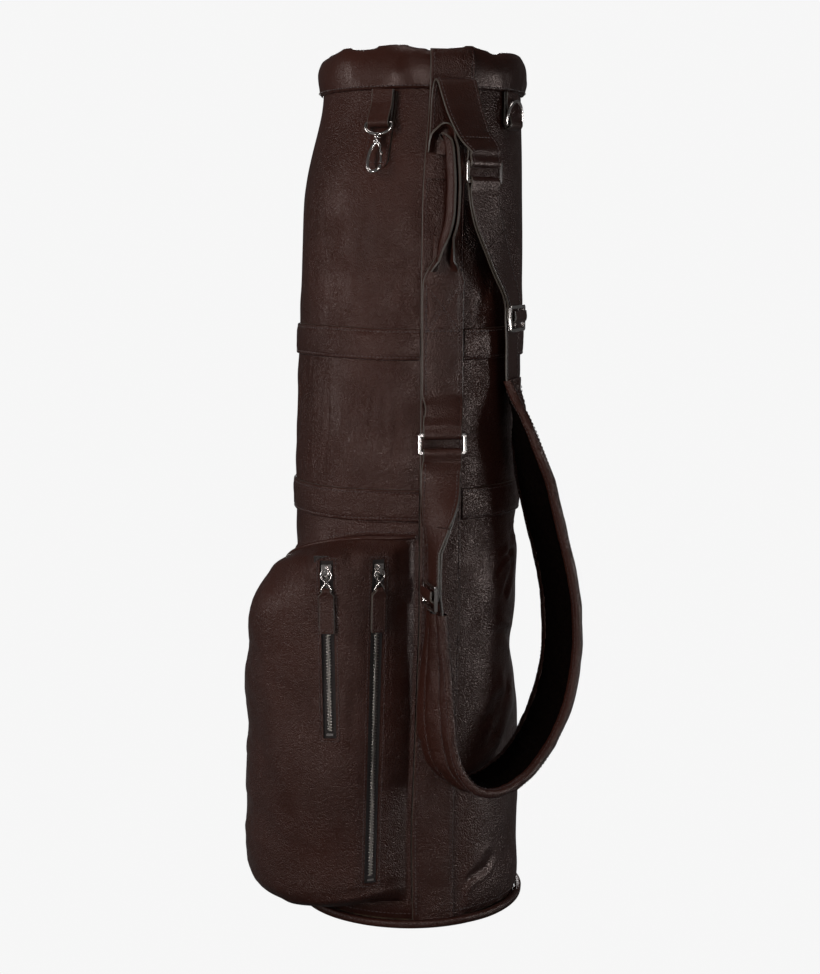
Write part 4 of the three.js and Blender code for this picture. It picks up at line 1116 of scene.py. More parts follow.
def build_pull(name, spec):
    """Wire pull bent to an hourglass: a round loop in the slider's bridge, crossing, then a triangle."""
    top = -6.0
    loop_y, cross_y, bar_y = top - 5.2, top - 12.6, -26.5
    t = np.linspace(0, 1, 41)
    swing = math.radians(250)
    a = math.pi / 2 - swing / 2 + swing * t
    ring = np.stack([5.2 * np.cos(a), loop_y + 5.4 * np.sin(a), 3.3 + 0 * a], -1)
    path = np.concatenate([
        [(-5.2, bar_y, 3.6), (-3.9, bar_y + 3.6, 3.7), (-0.2, cross_y, 4.2)],
        ring,
        [(0.2, cross_y, 2.5), (3.9, bar_y + 3.6, 3.0), (5.2, bar_y, 3.3)],
    ])
    smooth_path = centripetal(path, np.linspace(0, 1, 110))
    hoop = tube_path("hoop", in_zip(spec, smooth_path), 0.95, [NICKEL], normal=np.array(spec["z"]))
    bar_line = [(x, bar_y, 3.4) for x in (-5.6, 0, 5.6)]
    bar = tube_path("bar", in_zip(spec, bar_line), 1.0, [NICKEL], normal=np.array(spec["z"]))
    nib_line = [(x, cross_y, 3.3) for x in (-1.1, 0, 1.1)]
    nib = tube_path("nib", in_zip(spec, nib_line), 1.9, [NICKEL], normal=np.array(spec["z"]))
    piece = join(name + "_wire_pull", [hoop, bar, nib])
    settle(piece, "nickel", name + "_pull", name + "_pull")


def build_pull_tab(name, spec):
    bar_y, length = -26.5, 42.0
    fold = 2.75
    line = [
        (-length, 2.4), (-20, 2.2), (-8, 2.3), (-3.4, 1.5), (0, 3.3 - fold + 0.5), (fold - 0.6, 3.3),
        (0, 3.3 + fold - 0.5), (-3.4, 4.9), (-8, 4.2), (-20, 4.1), (-length, 4.0),
    ]
    stations = [(0, bar_y + y, z) for y, z in line]
    ts = np.linspace(0, 1, 61)
    path = centripetal(stations, ts)
    along = unit(np.gradient(path, axis=0))
    across = np.array([1.0, 0, 0])
    outward = unit(np.cross(along, across))
    rows = []
    for p, n in zip(path, outward):
        below = bar_y - p[1]
        foot = float(smooth((below - length + 1.2) / 1.2))
        width = 8.2 + 6.8 * float(smooth((below + 0.5) / 5.5)) - 1.2 * foot
        outline, flags = strap_section(width, 1.5, 0.12, 0.12)
        rows.append(p + outline[:, :1] * across + outline[:, 1:2] * n)
    piece = edged(name + "_leather_tab", in_zip(spec, np.array(rows)), flags, ladder=False)
    settle(piece, "leather", name + "_tab", name + "_tab")
    threads = Threads()
    y0, y1 = bar_y - 6.5, bar_y - length + 2.6
    for (xa, ya), (xb, yb) in (((-5.6, y0), (-5.6, y1)), ((5.6, y0), (5.6, y1)), ((-5.6, y1), (5.6, y1))):
        t = np.linspace(0, 1, 30)[:, None]
        line = np.concatenate([xa + (xb - xa) * t, ya + (yb - ya) * t, 4.85 + 0 * t], -1)
        line = in_zip(spec, line)
        threads.row(line, np.broadcast_to(np.array(spec["z"]), line.shape), pitch=3.0, length=2.2, radius=0.3)
    threads.build(name + "_tab_stitching", name + "_tab")


def build_zips():
    dress_cad(["zip_short_tape", "zip_long_tape"], TAPE)
    dress_cad(["zip_short_slider", "zip_long_slider", "zip_short_stop", "zip_long_stop"], NICKEL, 0.35)
    for name, spec in ZIPS.items():
        build_teeth(name, spec)
        build_pull(name, spec)
        build_pull_tab(name, spec)


# ---------------------------------------------------------------- towel clip and D-ring

CLIP_ANGLE, CLIP_HALF, CLIP_TILT = -37, 6.9, -19
DRING_ANGLE, DRING_TILT = 41, 9.5
BAR_HEIGHT = 806


def in_frame(spot, points):
    """Points given along a frame's three axes, from its origin."""
    o, x, y, z = spot
    points = np.asarray(points, float)
    return o + points[..., :1] * x + points[..., 1:2] * y + points[..., 2:3] * z


def curve_on(spot, line, samples):
    """Smooth curve through [x, z] points in a frame's own plane."""
    return in_frame(spot, centripetal([(x, 0, z) for x, z in line], np.linspace(0, 1, samples)))


def hanging_tab(name, angle, lift, bar_radius, node):
    half = TRIM / 2
    fold = bar_radius + 0.9 + half
    surface = lambda z: float(np.interp(z, [r[0] for r in TUBE], [r[2] for r in TUBE])) + lift + half
    back = surface(BAR_HEIGHT)
    where = [
        (surface(838), 838), (surface(824), 824), (back, BAR_HEIGHT), (back + fold, BAR_HEIGHT - fold),
        (back + 2 * fold, BAR_HEIGHT), (surface(824) + TRIM + 0.7, 824), (surface(838) + TRIM + 0.4, 838),
    ]
    stations = [(*polar(angle, r, z), angle) for r, z in where]
    leather_strip(name, stations, 22.0, TRIM, 60, "bag", (node,), 0.15)
    threads = Threads()
    strip_rows(threads, stations, (-7.8, 7.8), half + 0.3, (0.72, 0.99), pitch=3.4, length=2.5, radius=0.34)
    cross = [(*polar(a, surface(816) + TRIM + 2.2, 816), 0) for a in (angle - 4.6, angle + 4.6)]
    strip_rows(threads, cross, (0,), 0.0001, (0, 1), 20, pitch=3.4, length=2.5, radius=0.34)
    threads.build(name + "_stitching", "bag")
    return back + fold


def local_frame(angle, radius, tilt):
    """Origin and axes of hardware on a bar that lies along the bag: across, in to the bag, up."""
    turn, lean = math.radians(angle), math.radians(tilt)
    x = np.array([math.cos(turn), math.sin(turn), 0.0])
    inward = np.array([-math.sin(turn), math.cos(turn), 0.0])
    up = np.array([0.0, 0.0, 1.0])
    y = inward * math.cos(lean) + up * math.sin(lean)
    z = -inward * math.sin(lean) + up * math.cos(lean)
    return polar(angle, radius, BAR_HEIGHT), x, y, z


def turned_part(name, spot, profile, centre=(0, 0), sides=24):
    """Round nickel part about the local Z axis from [radius, height] points."""
    t = np.linspace(0, 2 * math.pi, sides, endpoint=False)
    rows = [stack(centre[0] + max(r, 0.02) * np.cos(t), centre[1] + max(r, 0.02) * np.sin(t), h + 0 * t)
            for r, h in profile]
    return loft(name, in_frame(spot, np.array(rows)), [NICKEL], smooth_angle=50)


def build_towel_clip():
    height = np.linspace(764, 836, 34)
    shares = np.linspace(-1, 1, 26)
    rows = []
    for z in height:
        width = CLIP_HALF * (1 - 0.22 * max(0, (770 - z) / 6) ** 2)
        angle = CLIP_ANGLE + width * shares
        edge = np.clip((1 - np.abs(shares)) / 0.08, 0, 1)
        base = under_trim(angle, z)
        lift = 0.5 + 1.6 * np.sqrt(1 - (1 - edge) ** 2) - 0.25 * bell(np.abs(shares), 0.8, 0.06)
        lift = lift * (1 if z > 765 else 0.7)
        z = z + 0 * angle
        rows.append(np.concatenate([polar(angle, base + lift, z), polar(angle, base - 0.8, z)[::-1]]))
    flags = np.zeros(52, int)
    flags[[0, 24]] = 1
    backing = edged("clip_backing_leather", rows, flags)
    settle(backing, "leather", "bag", "clip_backing")
    threads = Threads()
    for at in (-0.8, 0.8):
        z = np.linspace(768, 834, 50)
        a = CLIP_ANGLE + CLIP_HALF * at
        threads.row(polar(a, under_trim(a, z) + 1.9, z), out_at(CLIP_ANGLE + 0 * z), pitch=3.6, length=2.6)
    a = np.linspace(CLIP_ANGLE - 5.5, CLIP_ANGLE + 5.5, 20)
    threads.row(polar(a, under_trim(a, 768 + 0 * a) + 1.9, 768 + 0 * a), out_at(a), pitch=3.6, length=2.6)
    threads.build("clip_backing_stitching", "bag")
    radius = hanging_tab("clip_tab_leather", CLIP_ANGLE, 2.9, 1.6, "clip_tab")
    spot = local_frame(CLIP_ANGLE, radius, CLIP_TILT)
    t = np.linspace(0, 1, 33)
    arch = np.stack([13.6 * np.cos(math.pi * t), 0 * t, -(1.2 + 10.4 * np.sin(math.pi * t) ** 0.75)], -1)
    bar = np.stack([np.linspace(-13.6, 13.6, 9)[1:-1], np.zeros(7), np.zeros(7)], -1)
    path = in_frame(spot, np.concatenate([arch, bar]))
    bow = tube_path("bow", path, 1.6, [NICKEL], looped=True, normal=spot[2])
    neck = turned_part("neck", spot, [
        (0, -16.6), (2.6, -16.5), (3.2, -15.9), (3.2, -14.6),
        (2.4, -14.0), (2.7, -13.0), (2.2, -11.2), (0, -10.8)])
    eye = join("clip_eye_metal", [bow, neck])
    settle(eye, "nickel", "clip_eye", "clip_eye")
    collar = turned_part("collar", spot, [
        (0, -21.4), (2.5, -21.3), (3.3, -20.6), (3.5, -19.4),
        (3.3, -18.2), (2.4, -17.4), (1.4, -17.2), (0, -17.1)])
    outline = [
        (-0.6, -20.5), (-2.6, -23.0), (-4.6, -27), (-5.9, -32), (-6.5, -38), (-6.3, -43), (-4.9, -47.2),
        (-2.2, -49.4), (1.2, -49.6), (4.4, -48.0), (6.4, -45.2), (6.9, -43.0),
    ]
    size = np.interp(np.linspace(0, 1, 60), [0, 0.12, 0.5, 0.85, 1], [1.6, 1.75, 1.7, 1.8, 1.2])
    hook = tube_path("hook", curve_on(spot, outline, 60), 1.7, [NICKEL], radius_at=size, normal=spot[2])
    head = [(0.4, -20.6), (2.6, -21.8), (4.2, -24.0), (4.6, -25.6)]
    root = tube_path("root", curve_on(spot, head, 16), 1.7, [NICKEL], normal=spot[2])
    hook_all = join("clip_hook_metal", [collar, hook, root])
    settle(hook_all, "nickel", "clip_hook", "clip_hook")
    gate_line = [(4.7, -26.6), (5.6, -31), (6.5, -36.5), (6.9, -41.2)]
    gate = tube_path("gate_rod", curve_on(spot, gate_line, 24), 1.15, [NICKEL], normal=spot[2])
    button = [(0, -33.2), (1.2, -33.0), (1.5, -31.8), (1.2, -30.6), (0, -30.4)]
    knob = turned_part("gate_knob", spot, button, (6.9, -0.4), 14)
    gate_all = join("clip_gate_metal", [gate, knob])
    settle(gate_all, "nickel", "clip_gate", "clip_gate")


def build_d_ring():
    radius = hanging_tab("dring_tab_leather", DRING_ANGLE, 0.9, 1.7, "dring_tab")
    spot = local_frame(DRING_ANGLE, radius, DRING_TILT)
    t = np.linspace(0, 1, 41)
    arch = np.stack([14.6 * np.cos(math.pi * t), 0 * t, 1.2 + 22.3 * np.sin(math.pi * t) ** 0.9], -1)
    bar = np.stack([np.linspace(-14.6, 14.6, 9)[1:-1], np.zeros(7), np.zeros(7)], -1)
    path = in_frame(spot, np.concatenate([arch, bar]))
    ring = tube_path("d_ring_metal", path, 1.75, [NICKEL], looped=True, normal=spot[2])
    settle(ring, "nickel", "d_ring", "d_ring")


# ---------------------------------------------------------------- shoulder strap

UPPER_RING = {"centre": (35.0, -134.0, 758.0), "angle": 27.0}
LOWER_RING = {"centre": (-4.0, -128.0, 497.0), "angle": -8.0}
RING_HEIGHT, RING_BAR = 21.0, 3.6
STRAP_LEATHER = 2.0
LAYER_STEP = 2.7
STRAP_FOLD = 3.8
UPPER_LINE = [
    (35, -133, 733, 27), (39, -130.5, 716, 31), (48.5, -123.5, 694, 38), (61, -112.5, 667, 47),
    (70.5, -104.2, 648, 53), (75.7, -99, 632, 54), (76.5, -98, 617, 54), (77.8, -96.3, 588, 54),
    (79, -94.6, 559, 54), (79.7, -94.6, 551, 57),
]
LOWER_LINE = [
    (-6.8, -131.5, 470, -8), (-8.5, -138.5, 446, -32), (-12, -143.5, 418, -68), (-15, -145, 394, -90),
    (-15.6, -145.6, 372, -92), (-15.7, -146, 351, -92), (-15.5, -147, 337.6, -88), (-15.5, -147.6, 328, -86),
]
UPPER_SLIDER, LOWER_SLIDER = (81.5, -101.6, 617.0, 54.0), (-21.9, -145.8, 351.0, -92.0)
PAD_LINE = [
    (79.3, -94.3, 556, 54), (84.5, -97.5, 532, 70), (89, -105, 500, 92), (101, -105, 455, 106),
    (112.5, -103, 412, 106), (124, -101, 370, 106), (130.5, -102.5, 330, 106), (131.5, -105, 288, 106),
    (126.5, -108, 252, 106), (114.5, -113, 218, 106), (97, -120, 190, 106), (76, -129, 170, 106),
    (52, -139, 158, 106), (28, -148, 155, 106), (8, -151, 162, 106), (-7, -151, 180, 106),
    (-15, -150, 208, 106), (-17, -149, 247, 106), (-16, -148.5, 290, 104), (-15.5, -147.2, 334, 94),
]


def moved(spot, out, up=0.0):
    """A station [x, y, z, width angle] moved outward from its strap's face, and up."""
    x, y, z, angle = spot
    turn = math.radians(angle)
    return (x + out * math.sin(turn), y - out * math.cos(turn), z + up, angle)


def beside(stations, gap):
    return [moved(spot, gap) for spot in stations]


def ring_fold(ring, side, gap, leg):
    """Leather round one bar of a ring: down the front, round the bar and back up, or the reverse below it."""
    fold = RING_BAR / 2 + 0.6 + STRAP_LEATHER / 2
    x, y, z = ring["centre"]
    bar = (x, y, z + side * (RING_HEIGHT - RING_BAR) / 2, ring["angle"])
    slant = 0.72 * fold
    steps = [
        (gap, side * leg), (gap + 0.3, side * (fold + 3)), (fold, 0), (slant, -side * slant),
        (0, -side * fold), (-slant, -side * slant), (-fold, 0), (-gap - 0.3, side * (fold + 3)),
        (-gap, side * leg),
    ]
    return [moved(bar, out, up) for out, up in steps]


def slider_fold(spot):
    """Strap end down behind a slider's centre bar, round it and up in front."""
    f = STRAP_FOLD
    slant = 0.7 * f
    steps = [(-f, 17), (-f, 6), (-f, 0), (-slant, -slant), (0, -f), (slant, -slant), (f, 0), (f - 0.6, 7.5)]
    return [moved(spot, out, up) for out, up in steps]


def bend(pieces, a, b, start, end):
    for piece in pieces:
        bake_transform(piece)


def stitched_strip(name, stations, width, thickness, samples, nodes, body, faces, noise, span):
    """A strip with a row of stitches near each edge, on the faces given."""
    piece = leather_strip(name, stations, width, thickness, samples, body, nodes, noise)
    threads = Threads()
    off = width / 2 - STITCH_EDGE
    for side in faces:
        height = side * (thickness / 2 + 0.12)
        strip_rows(threads, stations, (-off, off), height, span, samples * 2, pitch=3.9, length=2.9)
    sewn = threads.build(name + "_stitching", body)
    return piece, sewn


def build_anchor():
    wrap = ring_fold(UPPER_RING, 1, 1.5, 13)
    stations = [
        (7, -111.4, 786, 2), (9, -108.5, 810, 2), (10, -107.4, 826, 2), (10.5, -109.6, 836, 2),
        (11, -112.2, 842.5, 2), (11.5, -116.2, 845.2, 3), (12.2, -120.4, 843, 4), (13.5, -123.2, 836, 6),
        (18.5, -127.5, 815, 12), (27, -132, 793, 21), *wrap,
    ]
    stitched_strip("anchor_leather", stations, STRAP_WIDTH + 2, TRIM, 150, ("strap_anchor",), "bag",
                   (1, -1), 0.35, (0.01, 0.99))
    threads = Threads()
    for z_at, angle in ((790.5, 21.0), (787.5, 21.5)):
        turn = math.radians(angle)
        centre = np.array([28.6, -133.0, z_at]) + 1.5 * np.array([math.sin(turn), -math.cos(turn), 0.2])
        t = np.linspace(-15, 15, 24)[:, None]
        line = centre + t * np.array([math.cos(turn), math.sin(turn), 0.0])
        facing = np.broadcast_to([math.sin(turn), -math.cos(turn), 0.25], line.shape)
        threads.row(line, facing, pitch=3.6, length=2.6)
    threads.build("anchor_cross_stitching", "bag")


SEWN_BOX = (606.0, 650.0)


def build_patch():
    """Rounded patch that follows the curve of the spine; the sewn cross leaves puffed triangles."""
    ts = np.linspace(0, 1, 190)
    on_spine = []
    for z in (680, 667, 654, 640, 620, 600, 580, 560, 545):
        face = float(tube_radius(z)) + 3.0 + TRIM / 2 + 2.4 * float(smooth((z - 640) / 25))
        centre = polar(float(spine_angle(z)), face, z)
        on_spine.append((centre[0], centre[1], z, float(spine_angle(z))))
    on_spine += [(-0.6, -122.6, 533, -1), (-2.2, -126.0, 522, -5)]
    stations = on_spine + ring_fold(LOWER_RING, 1, 1.5, 9.5) + [(-2.4, -123.4, 522, -6)]
    outline, flags = strap_section(42.0, TRIM, 0.35, 0.3)
    centre, across, outward = strip_frames(stations, ts)
    low, high = SEWN_BOX
    rows = []
    for k in range(len(ts)):
        z = centre[k, 2]
        front = ts[k] < 0.6
        width = 1 - 0.66 * (max(z - 653, 0) / 27.0) ** 1.5 if front else 1.0
        narrow = 1 - 0.1 * smooth((548 - z) / 20) if front else 0.9
        a = outline[:, 0] * width * narrow
        hug = smooth((z - 528) / 18) if front else 0.0
        b = outline[:, 1] - hug * a**2 / (2 * 118.0)
        if front and low - 6 < z < high + 6:
            u = np.clip(a / 17.5, -1, 1)
            v = (z - (low + high) / 2) / ((high - low) / 2)
            cross = np.minimum(np.abs(u - v), np.abs(u + v)) * 0.7
            gap = np.minimum(cross, np.minimum(1 - np.abs(u), np.abs(1 - abs(v))))
            puff = 1.1 * smooth(gap / 0.22) * (np.abs(v) < 1.0)
            b = b + np.where(outline[:, 1] > 0.3, puff - 0.35, 0.0) * smooth((1.12 - abs(v)) / 0.12)
        rows.append(centre[k] + a[:, None] * across[k] + b[:, None] * outward[k])
    patch = edged("lower_anchor_leather", rows, flags, ladder=False)
    settle(patch, "leather", "bag", "anchor_patch", "lower_anchor_loop")

    threads = Threads()

    def on_patch(x, z, lift=0.0):
        r = float(tube_radius(z)) + 3.0 + TRIM + 0.25 + lift - x * x / 236.0
        c = polar(float(spine_angle(z)), r, z)
        return c + np.array([x, 0, 0])

    for side in (-1, 1):
        line = [on_patch(side * 17.6, z) for z in np.linspace(660, 540, 60)]
        threads.row(line, np.broadcast_to([side * 0.12, -1, 0], (60, 3)), pitch=3.9, length=2.9)
    t = np.linspace(0, 1, 24)
    cross = (((-17, low), (17, high)), ((17, low), (-17, high)))
    rails = (((-17, low), (17, low)), ((-17, high), (17, high)))
    for (xa, za), (xb, zb) in cross + rails:
        line = [on_patch(xa + (xb - xa) * u, za + (zb - za) * u, -0.15) for u in t]
        threads.row(line, np.broadcast_to([0, -1, 0], (24, 3)), pitch=3.6, length=2.7)
    threads.build("lower_anchor_stitching", "bag")


def sewn_along(name, stations, spans):
    """Stitches on both faces of a strap over shares of its stations."""
    threads = Threads()
    off = STRAP_WIDTH / 2 - STITCH_EDGE
    for low, high in spans:
        samples = int(30 + 300 * (high - low))
        for side in (1, -1):
            height = side * (STRAP_LEATHER / 2 + 0.12)
            strip_rows(threads, stations, (-off, off), height, (low, high), samples, pitch=3.9, length=2.9)
    return threads.build(name)


def build_straps():
    """Each end of the strap runs from the pad, through its ring and back down to the slider."""
    runs = (
        ("upper", UPPER_LINE, UPPER_RING, UPPER_SLIDER, 5, ((38, -132, 722), (35, -134, 744)),
         ((38, -132, 720), (56, -117, 680)), ((50, -125, 690), (78, -99, 636))),
        ("lower", LOWER_LINE, LOWER_RING, LOWER_SLIDER, 4, ((-8, -137, 456), (-4, -128, 483)),
         ((-8, -137, 454), (-13, -144, 406)), ((-12, -146, 414), (-18, -146, 370))),
    )
    for name, line, ring, slider, last, to_ring, from_bag, to_slider in runs:
        front = beside(line, LAYER_STEP)
        main = front[:3][::-1] + ring_fold(ring, -1, 1.5, 9) + line
        steps = len(main) - 1
        near, far = 1 / steps, 13 / steps
        loop = leather_strip(name + "_ring_leather", main, STRAP_WIDTH, STRAP_LEATHER, 100, None,
                             (name + "_ring_loop",), 0.35, (near, far))
        sewn = sewn_along(name + "_ring_leather_stitching", main, ((near, 2.4 / steps), (11.8 / steps, far)))
        bend((loop, sewn), "bag", name + "_ring", *to_ring)
        layers = [leather_strip(f"layer_{k}", main, STRAP_WIDTH, STRAP_LEATHER, n, None, (), 0.35, part)
                  for k, (n, part) in enumerate(((24, (0, near)), (110, (far, 1))))]
        strap = join(name + "_strap_leather", layers)
        settle(strap, "leather", None, name + "_strap")
        sewn = sewn_along(name + "_strap_leather_stitching", main, ((0, near), (far, 0.99)))
        bend((strap, sewn), "bag", "strap", *from_bag)
        end = front[2:last] + slider_fold(slider)
        nodes = (name + "_strap_end",)
        pieces = stitched_strip(name + "_strap_end_leather", end, STRAP_WIDTH, STRAP_LEATHER, 90, nodes, None,
                                (1,), 0.2, (0.01, 0.55))
        bend(pieces, "strap", name + "_slider", *to_slider)
    dress_cad(["upper_ring", "lower_ring", "upper_slider", "lower_slider"], NICKEL, 0.7)


# ---------------------------------------------------------------- shoulder pad


def pad_scale(t):
    from_end = np.minimum(t, 1 - t)
    return STRAP_WIDTH / PAD_WIDTH + (1 - STRAP_WIDTH / PAD_WIDTH) * smooth(from_end / 0.14)


PAD_ROLL = 13.5
PAD_BIND = 8.5
PAD_LENGTH = 905.0
FLEECE_AIR = 3.0
FLEECE_RISE = 1.6


def pad_outside(a, half):
    """Height of the pad's leather face: a filled roll between two seams, with thinner sewn edges."""
    seam = PAD_ROLL * half / PAD_HALF
    roll = 4.0 * np.sqrt(np.clip(1 - (a / seam) ** 2, 0, 1))
    edge = 1.9 * np.sqrt(np.clip(1 - ((np.abs(a) - (seam + half) / 2) / ((half - seam) / 2)) ** 2, 0, 1))
    return 2.6 + np.where(np.abs(a) < seam, roll, edge)


def pad_section(t):
    half = PAD_HALF * float(pad_scale(t))
    seam = PAD_ROLL * half / PAD_HALF
    beyond = np.linspace(seam + 0.4, half - 1.0, 13)
    steps = np.concatenate([np.linspace(0, seam, 15), beyond, [half - 0.4, half]])
    across = np.concatenate([-steps[::-1], steps[1:]])
    top = pad_outside(across, half)
    top[[0, -1]] = 1.2
    top[[1, -2]] = 2.2
    bind = PAD_BIND * half / PAD_HALF
    side_a = [half + 0.3, half + 0.2, half - 0.5, half - 2.0, half - bind + 0.8, half - bind]
    side_b = [-0.5, -2.2, -3.8, -4.7, -4.9, -4.2]
    outer = list(zip(across, top)) + list(zip(side_a, side_b))
    inner_a = [half - bind, half - bind + 1.0, half - 2.6, half - 1.9, half - 1.8]
    inner_b = [-3.4, -3.3, -2.9, -1.0, 0.4]
    under = np.linspace(1, -1, 31) * (half - 2.2)
    under_b = np.minimum(pad_outside(under, half) - 1.3, 6.0)
    under_b = np.maximum(under_b, 1.7)
    inner = list(zip(inner_a, inner_b)) + list(zip(under, under_b))
    inner += [(-a, b) for a, b in list(zip(inner_a, inner_b))[::-1]]
    left = [(-a, b) for a, b in list(zip(side_a, side_b))[::-1]]
    return np.array(outer + inner + left)


def build_pad():
    ts = np.linspace(0, 1, 330)
    centre, across, outward = strip_frames(PAD_LINE, ts)
    rows = []
    run = ts * PAD_LENGTH
    for k, t in enumerate(ts):
        section = pad_section(t)
        a, b = section[:, 0], section[:, 1]
        p = stack(a / 16, b / 40, run[k] / 24 + 0 * a)
        face = (b > 2.0).astype(float)
        cross = stack(a / 30, 0 * a, run[k] / 7.5 + 0 * a)
        wrinkle = 0.8 * fbm(p, 141, 3) - 0.7 * ridged(cross, 143, 4.0) * bell(a, 0, 12) * face
        inner_bend = 0.6 * ridged(stack(a / 22, 0 * a, run[k] / 9 + 0 * a), 147, 3.0) * (b < -1.0)
        b = b + wrinkle * (0.5 + 0.5 * face) + inner_bend
        ripple = 0.7 * float(value_noise(np.array([[run[k] / 30, 0.0, 0.0]]), 149)[0])
        a = a * (1 + ripple / PAD_HALF)
        rows.append(centre[k] + a[:, None] * across[k] + b[:, None] * outward[k])
    pad = loft("pad_cover_leather", np.array(rows), [LEATHER], smooth_angle=60)
    settle(pad, "leather", "strap", "pad_leather")

    shares = np.linspace(-1, 1, 31)
    rows = []
    for k, t in enumerate(ts):
        half = (PAD_HALF - PAD_BIND + 0.9) * float(pad_scale(t))
        a = shares * half
        edge = np.sqrt(np.clip(1 - np.abs(shares) ** 6, 0, 1))
        p = stack(a / 7.5, 0 * a, run[k] / 7.5 + 0 * a)
        tufts = 1.0 * fbm(p, 151, 3) + 1.5 * ridged(stack(a / 13, 0 * a, run[k] / 10 + 0 * a), 155, 3.0)
        low = -4.0 - (1.9 + tufts) * edge
        rows.append(centre[k] + np.concatenate([
            a[:, None] * across[k] + low[:, None] * outward[k],
            (a[:, None] * across[k] + (-2.5 - 0.2 * edge[:, None]) * outward[k])[::-1]]))
    fleece = loft("pad_fleece", np.array(rows), [FLEECE], ladder=True)
    inflate(fleece, None, FLEECE_AIR, FLEECE_RISE, lambda points: np.zeros(len(points)))
    settle(fleece, "fleece", "strap", "pad_lining")

    threads = Threads()
    mid = ts[6:-6]
    c, ac, ow = centre[6:-6], across[6:-6], outward[6:-6]
    half = PAD_HALF * pad_scale(mid)
    for side in (-1, 1):
        for at in ((PAD_ROLL + 1.6) / PAD_HALF, 1 - 3.0 / PAD_HALF):
            a = side * at * half
            height = np.array([pad_outside(x, h) for x, h in zip(a, half)]) + 0.12
            threads.row(c + a[:, None] * ac + height[:, None] * ow, ow, pitch=4.2, length=3.0)
        a = side * (half - 3.4 * half / PAD_HALF)
        threads.row(c + a[:, None] * ac - (4.75 + 0 * a)[:, None] * ow, -ow, pitch=4.2, length=3.0)
    threads.build("pad_stitching", "strap")
    dress_cad(["pad_core"], FOAM)


# ---------------------------------------------------------------- carry handle


def folded_section(width, fold, thickness=2.2):
    """A strap rolled lengthwise: flat at fold 0; at fold 1 a loop whose two painted edges meet in front."""
    half = width / 2
    s = np.linspace(-half, half, 45)
    u = np.abs(s) / half
    turn = np.sign(s) * np.radians(np.interp(u, [0, 0.52, 0.72, 1.0], [0, 112, 122, 92])) * fold
    step = s[1] - s[0]
    x = np.cumsum(np.cos(turn)) * step
    y = np.cumsum(np.sin(turn)) * step
    x = x - x[22]
    y = y - y[22]
    nx, ny = -np.sin(turn), np.cos(turn)
    t = thickness / 2
    bulge = t + 0.25 * np.sqrt(np.clip(1 - u**4, 0, 1))
    outer = np.stack([x - nx * bulge, y - ny * bulge], -1)
    inner = np.stack([x + nx * t * 0.9, y + ny * t * 0.9], -1)[::-1]
    return np.concatenate([outer, inner])


def build_handle():
    line = [
        (-1, -118.2, 664, 90), (-1, -119.4, 676, 90), (1, -122.6, 694, 90), (4.5, -126.5, 712, 90),
        (6, -127.5, 738, 90), (5.5, -127.0, 768, 90), (3.5, -124.5, 787, 90), (-1, -121.5, 796, 90),
        (-6, -119.0, 791, 90), (-8, -117.6, 776, 90),
    ]
    ts = np.linspace(0, 1, 130)
    centre, across, outward = strip_frames(line, ts)
    fold = np.interp(ts, [0, 0.1, 0.26, 0.66, 0.8, 1.0], [0.3, 0.72, 0.98, 0.98, 0.6, 0.2])
    width = np.interp(ts, [0, 0.1, 0.3, 0.62, 0.8, 1.0], [30, 34, 42, 40, 25, 18])
    rows, seams = [], []
    for k in range(len(ts)):
        section = folded_section(width[k], fold[k])
        rows.append(centre[k] - section[:, 1:2] * across[k] - section[:, :1] * outward[k])
        seams.append([rows[-1][3], rows[-1][41]])
    flags = np.zeros(90, int)
    flags[[44, 89]] = 1
    rows = np.array(rows)
    rows = rows + 0.3 * value_noise(rows / 12.0, 161)[..., None] * outward[:, None, :]
    seams = np.array(seams)
    halves = (
        ("handle_lower", slice(0, 66), slice(14, 66), ((-1, -118, 674), (4, -126, 722))),
        ("handle_upper", slice(65, 130), slice(65, 112), ((0, -121, 784), (5, -127, 742))),
    )
    for name, part, sewn_part, ends in halves:
        piece = edged(name + "_leather", rows[part], flags)
        settle(piece, "leather", None, "handle_grip")
        threads = Threads()
        for side, sign in ((0, 1), (1, -1)):
            threads.row(seams[sewn_part, side], sign * outward[sewn_part], pitch=3.8, length=2.8)
        bend((piece, threads.build(name + "_stitching")), "bag", "handle", *ends)
    dress_cad(["handle_tab"], LEATHER_STRAP, 0.7)


# ---------------------------------------------------------------- camera, floor and light


FLOOR_HALF = 4000
PALE = (0.925, 0.925, 0.925, 1)
# name, place, aimed at, size, watts, and whether matt and shiny light reach the bag
LAMPS = (
    ("key", (-2.0, -1.15, 1.15), (0, 0, 0.5), (0.7, 1.5), 34, True, False),
    ("fill", (0.9, -2.4, 0.5), (0, 0, 0.35), (0.8, 0.8), 5, True, False),
    ("edge", (-1.9, 0.35, 0.75), (0, 0, 0.5), (0.16, 1.2), 9, False, True),
    ("window", (-1.75, -1.3, 0.2), (0, 0, 0.3), (0.25, 0.25), 9, False, True),
    ("front", (-0.36, -2.58, 0.65), (0, 0, 0.6), (0.3, 1.1), 20, False, True),
    ("rim", (1.68, -0.89, 0.28), (0, 0, 0.4), (0.3, 0.5), 14, False, True),
    ("side", (1.7, 1.0, 1.3), (0, 0, 0.5), (0.8, 1.4), 12, True, False),
    ("back", (0.6, 2.1, 1.1), (0, 0, 0.5), (0.5, 1.4), 24, True, True),
    ("top", (-0.2, -0.3, 2.6), (0, 0, 0.5), (0.9, 0.9), 6, True, True),
)


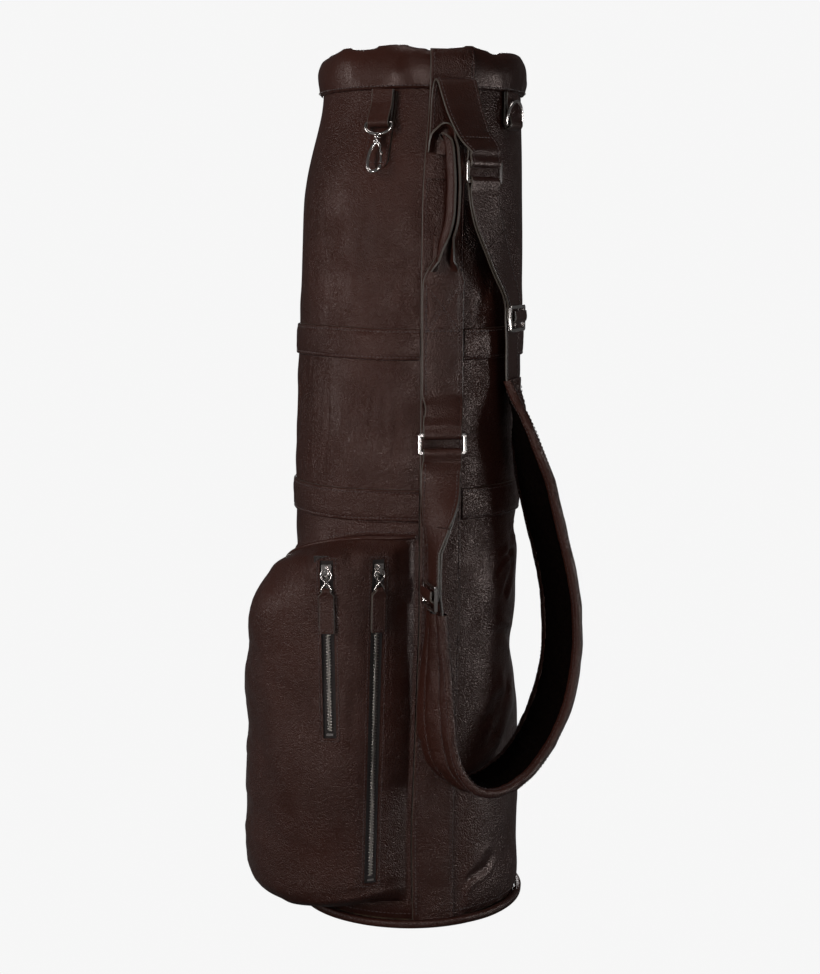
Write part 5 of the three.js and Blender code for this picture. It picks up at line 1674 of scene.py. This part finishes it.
def build_stage():
    scene = bpy.context.scene
    data = bpy.data.cameras.new("camera")
    camera = bpy.data.objects.new("camera", data)
    scene.collection.objects.link(camera)
    data.sensor_fit = "AUTO"
    data.sensor_width = 36.0
    data.lens = 64.72
    camera.location = (-0.5017, -1.7495, 0.687)
    camera.rotation_euler = (math.radians(90 - 7.8), 0, math.radians(-16))
    scene.camera = camera

    n = Nodes("pale_floor")
    path = n.add("ShaderNodeLightPath")
    glow = n.add("ShaderNodeEmission", {"Color": PALE, "Strength": 1.0}).outputs[0]
    matte = n.add("ShaderNodeBsdfDiffuse", {"Color": (0.16, 0.16, 0.16, 1)}).outputs[0]
    mixed = n.add("ShaderNodeMixShader", {0: path.outputs["Is Camera Ray"], 1: matte, 2: glow}).outputs[0]
    n.tree.links.new(mixed, n.tree.nodes["Material Output"].inputs["Surface"])
    corners = [(x * FLOOR_HALF, y * FLOOR_HALF, 0) for x, y in ((-1, -1), (1, -1), (1, 1), (-1, 1))]
    floor = make("floor", corners, [[0, 1, 2, 3]], [n.material])
    floor.location.z = -0.0005

    world = bpy.data.worlds.new("studio")
    world.use_nodes = True
    scene.world = world
    tree = world.node_tree
    back = tree.nodes["Background"]
    ray = tree.nodes.new("ShaderNodeLightPath")
    mix = tree.nodes.new("ShaderNodeMix")
    mix.data_type = "RGBA"
    tree.links.new(ray.outputs["Is Camera Ray"], mix.inputs["Factor"])
    mix.inputs["A"].default_value = (0.06, 0.06, 0.06, 1)
    mix.inputs["B"].default_value = PALE
    tree.links.new(mix.outputs["Result"], back.inputs["Color"])
    scene.view_settings.view_transform = "Standard"

    for spec in LAMPS:
        lamp(*spec)


def lamp(name, where, target, size, power, diffuse, glossy):
    data = bpy.data.lights.new(name, "AREA")
    data.shape = "RECTANGLE"
    data.size, data.size_y = size
    data.energy = power
    light = bpy.data.objects.new(name, data)
    light.location = where
    light.visible_diffuse = diffuse
    light.visible_glossy = glossy
    light.rotation_euler = (Vector(target) - Vector(where)).to_track_quat("-Z", "Y").to_euler()
    bpy.context.scene.collection.objects.link(light)


# ---------------------------------------------------------------- assembly

build_body()
build_spine()
build_bands()
build_collar()
build_base()
build_divider()
build_pocket()
build_zips()
build_towel_clip()
build_d_ring()
build_anchor()
build_patch()
build_straps()
build_pad()
build_handle()
dress_cad(["base_leather"], LEATHER_SMOOTH, 0.8)
dress_cad(["base_board", "rim_hoop"], BOARD)
dress_cad(["spine_stay", "hoop_"], STEEL)
build_stage()
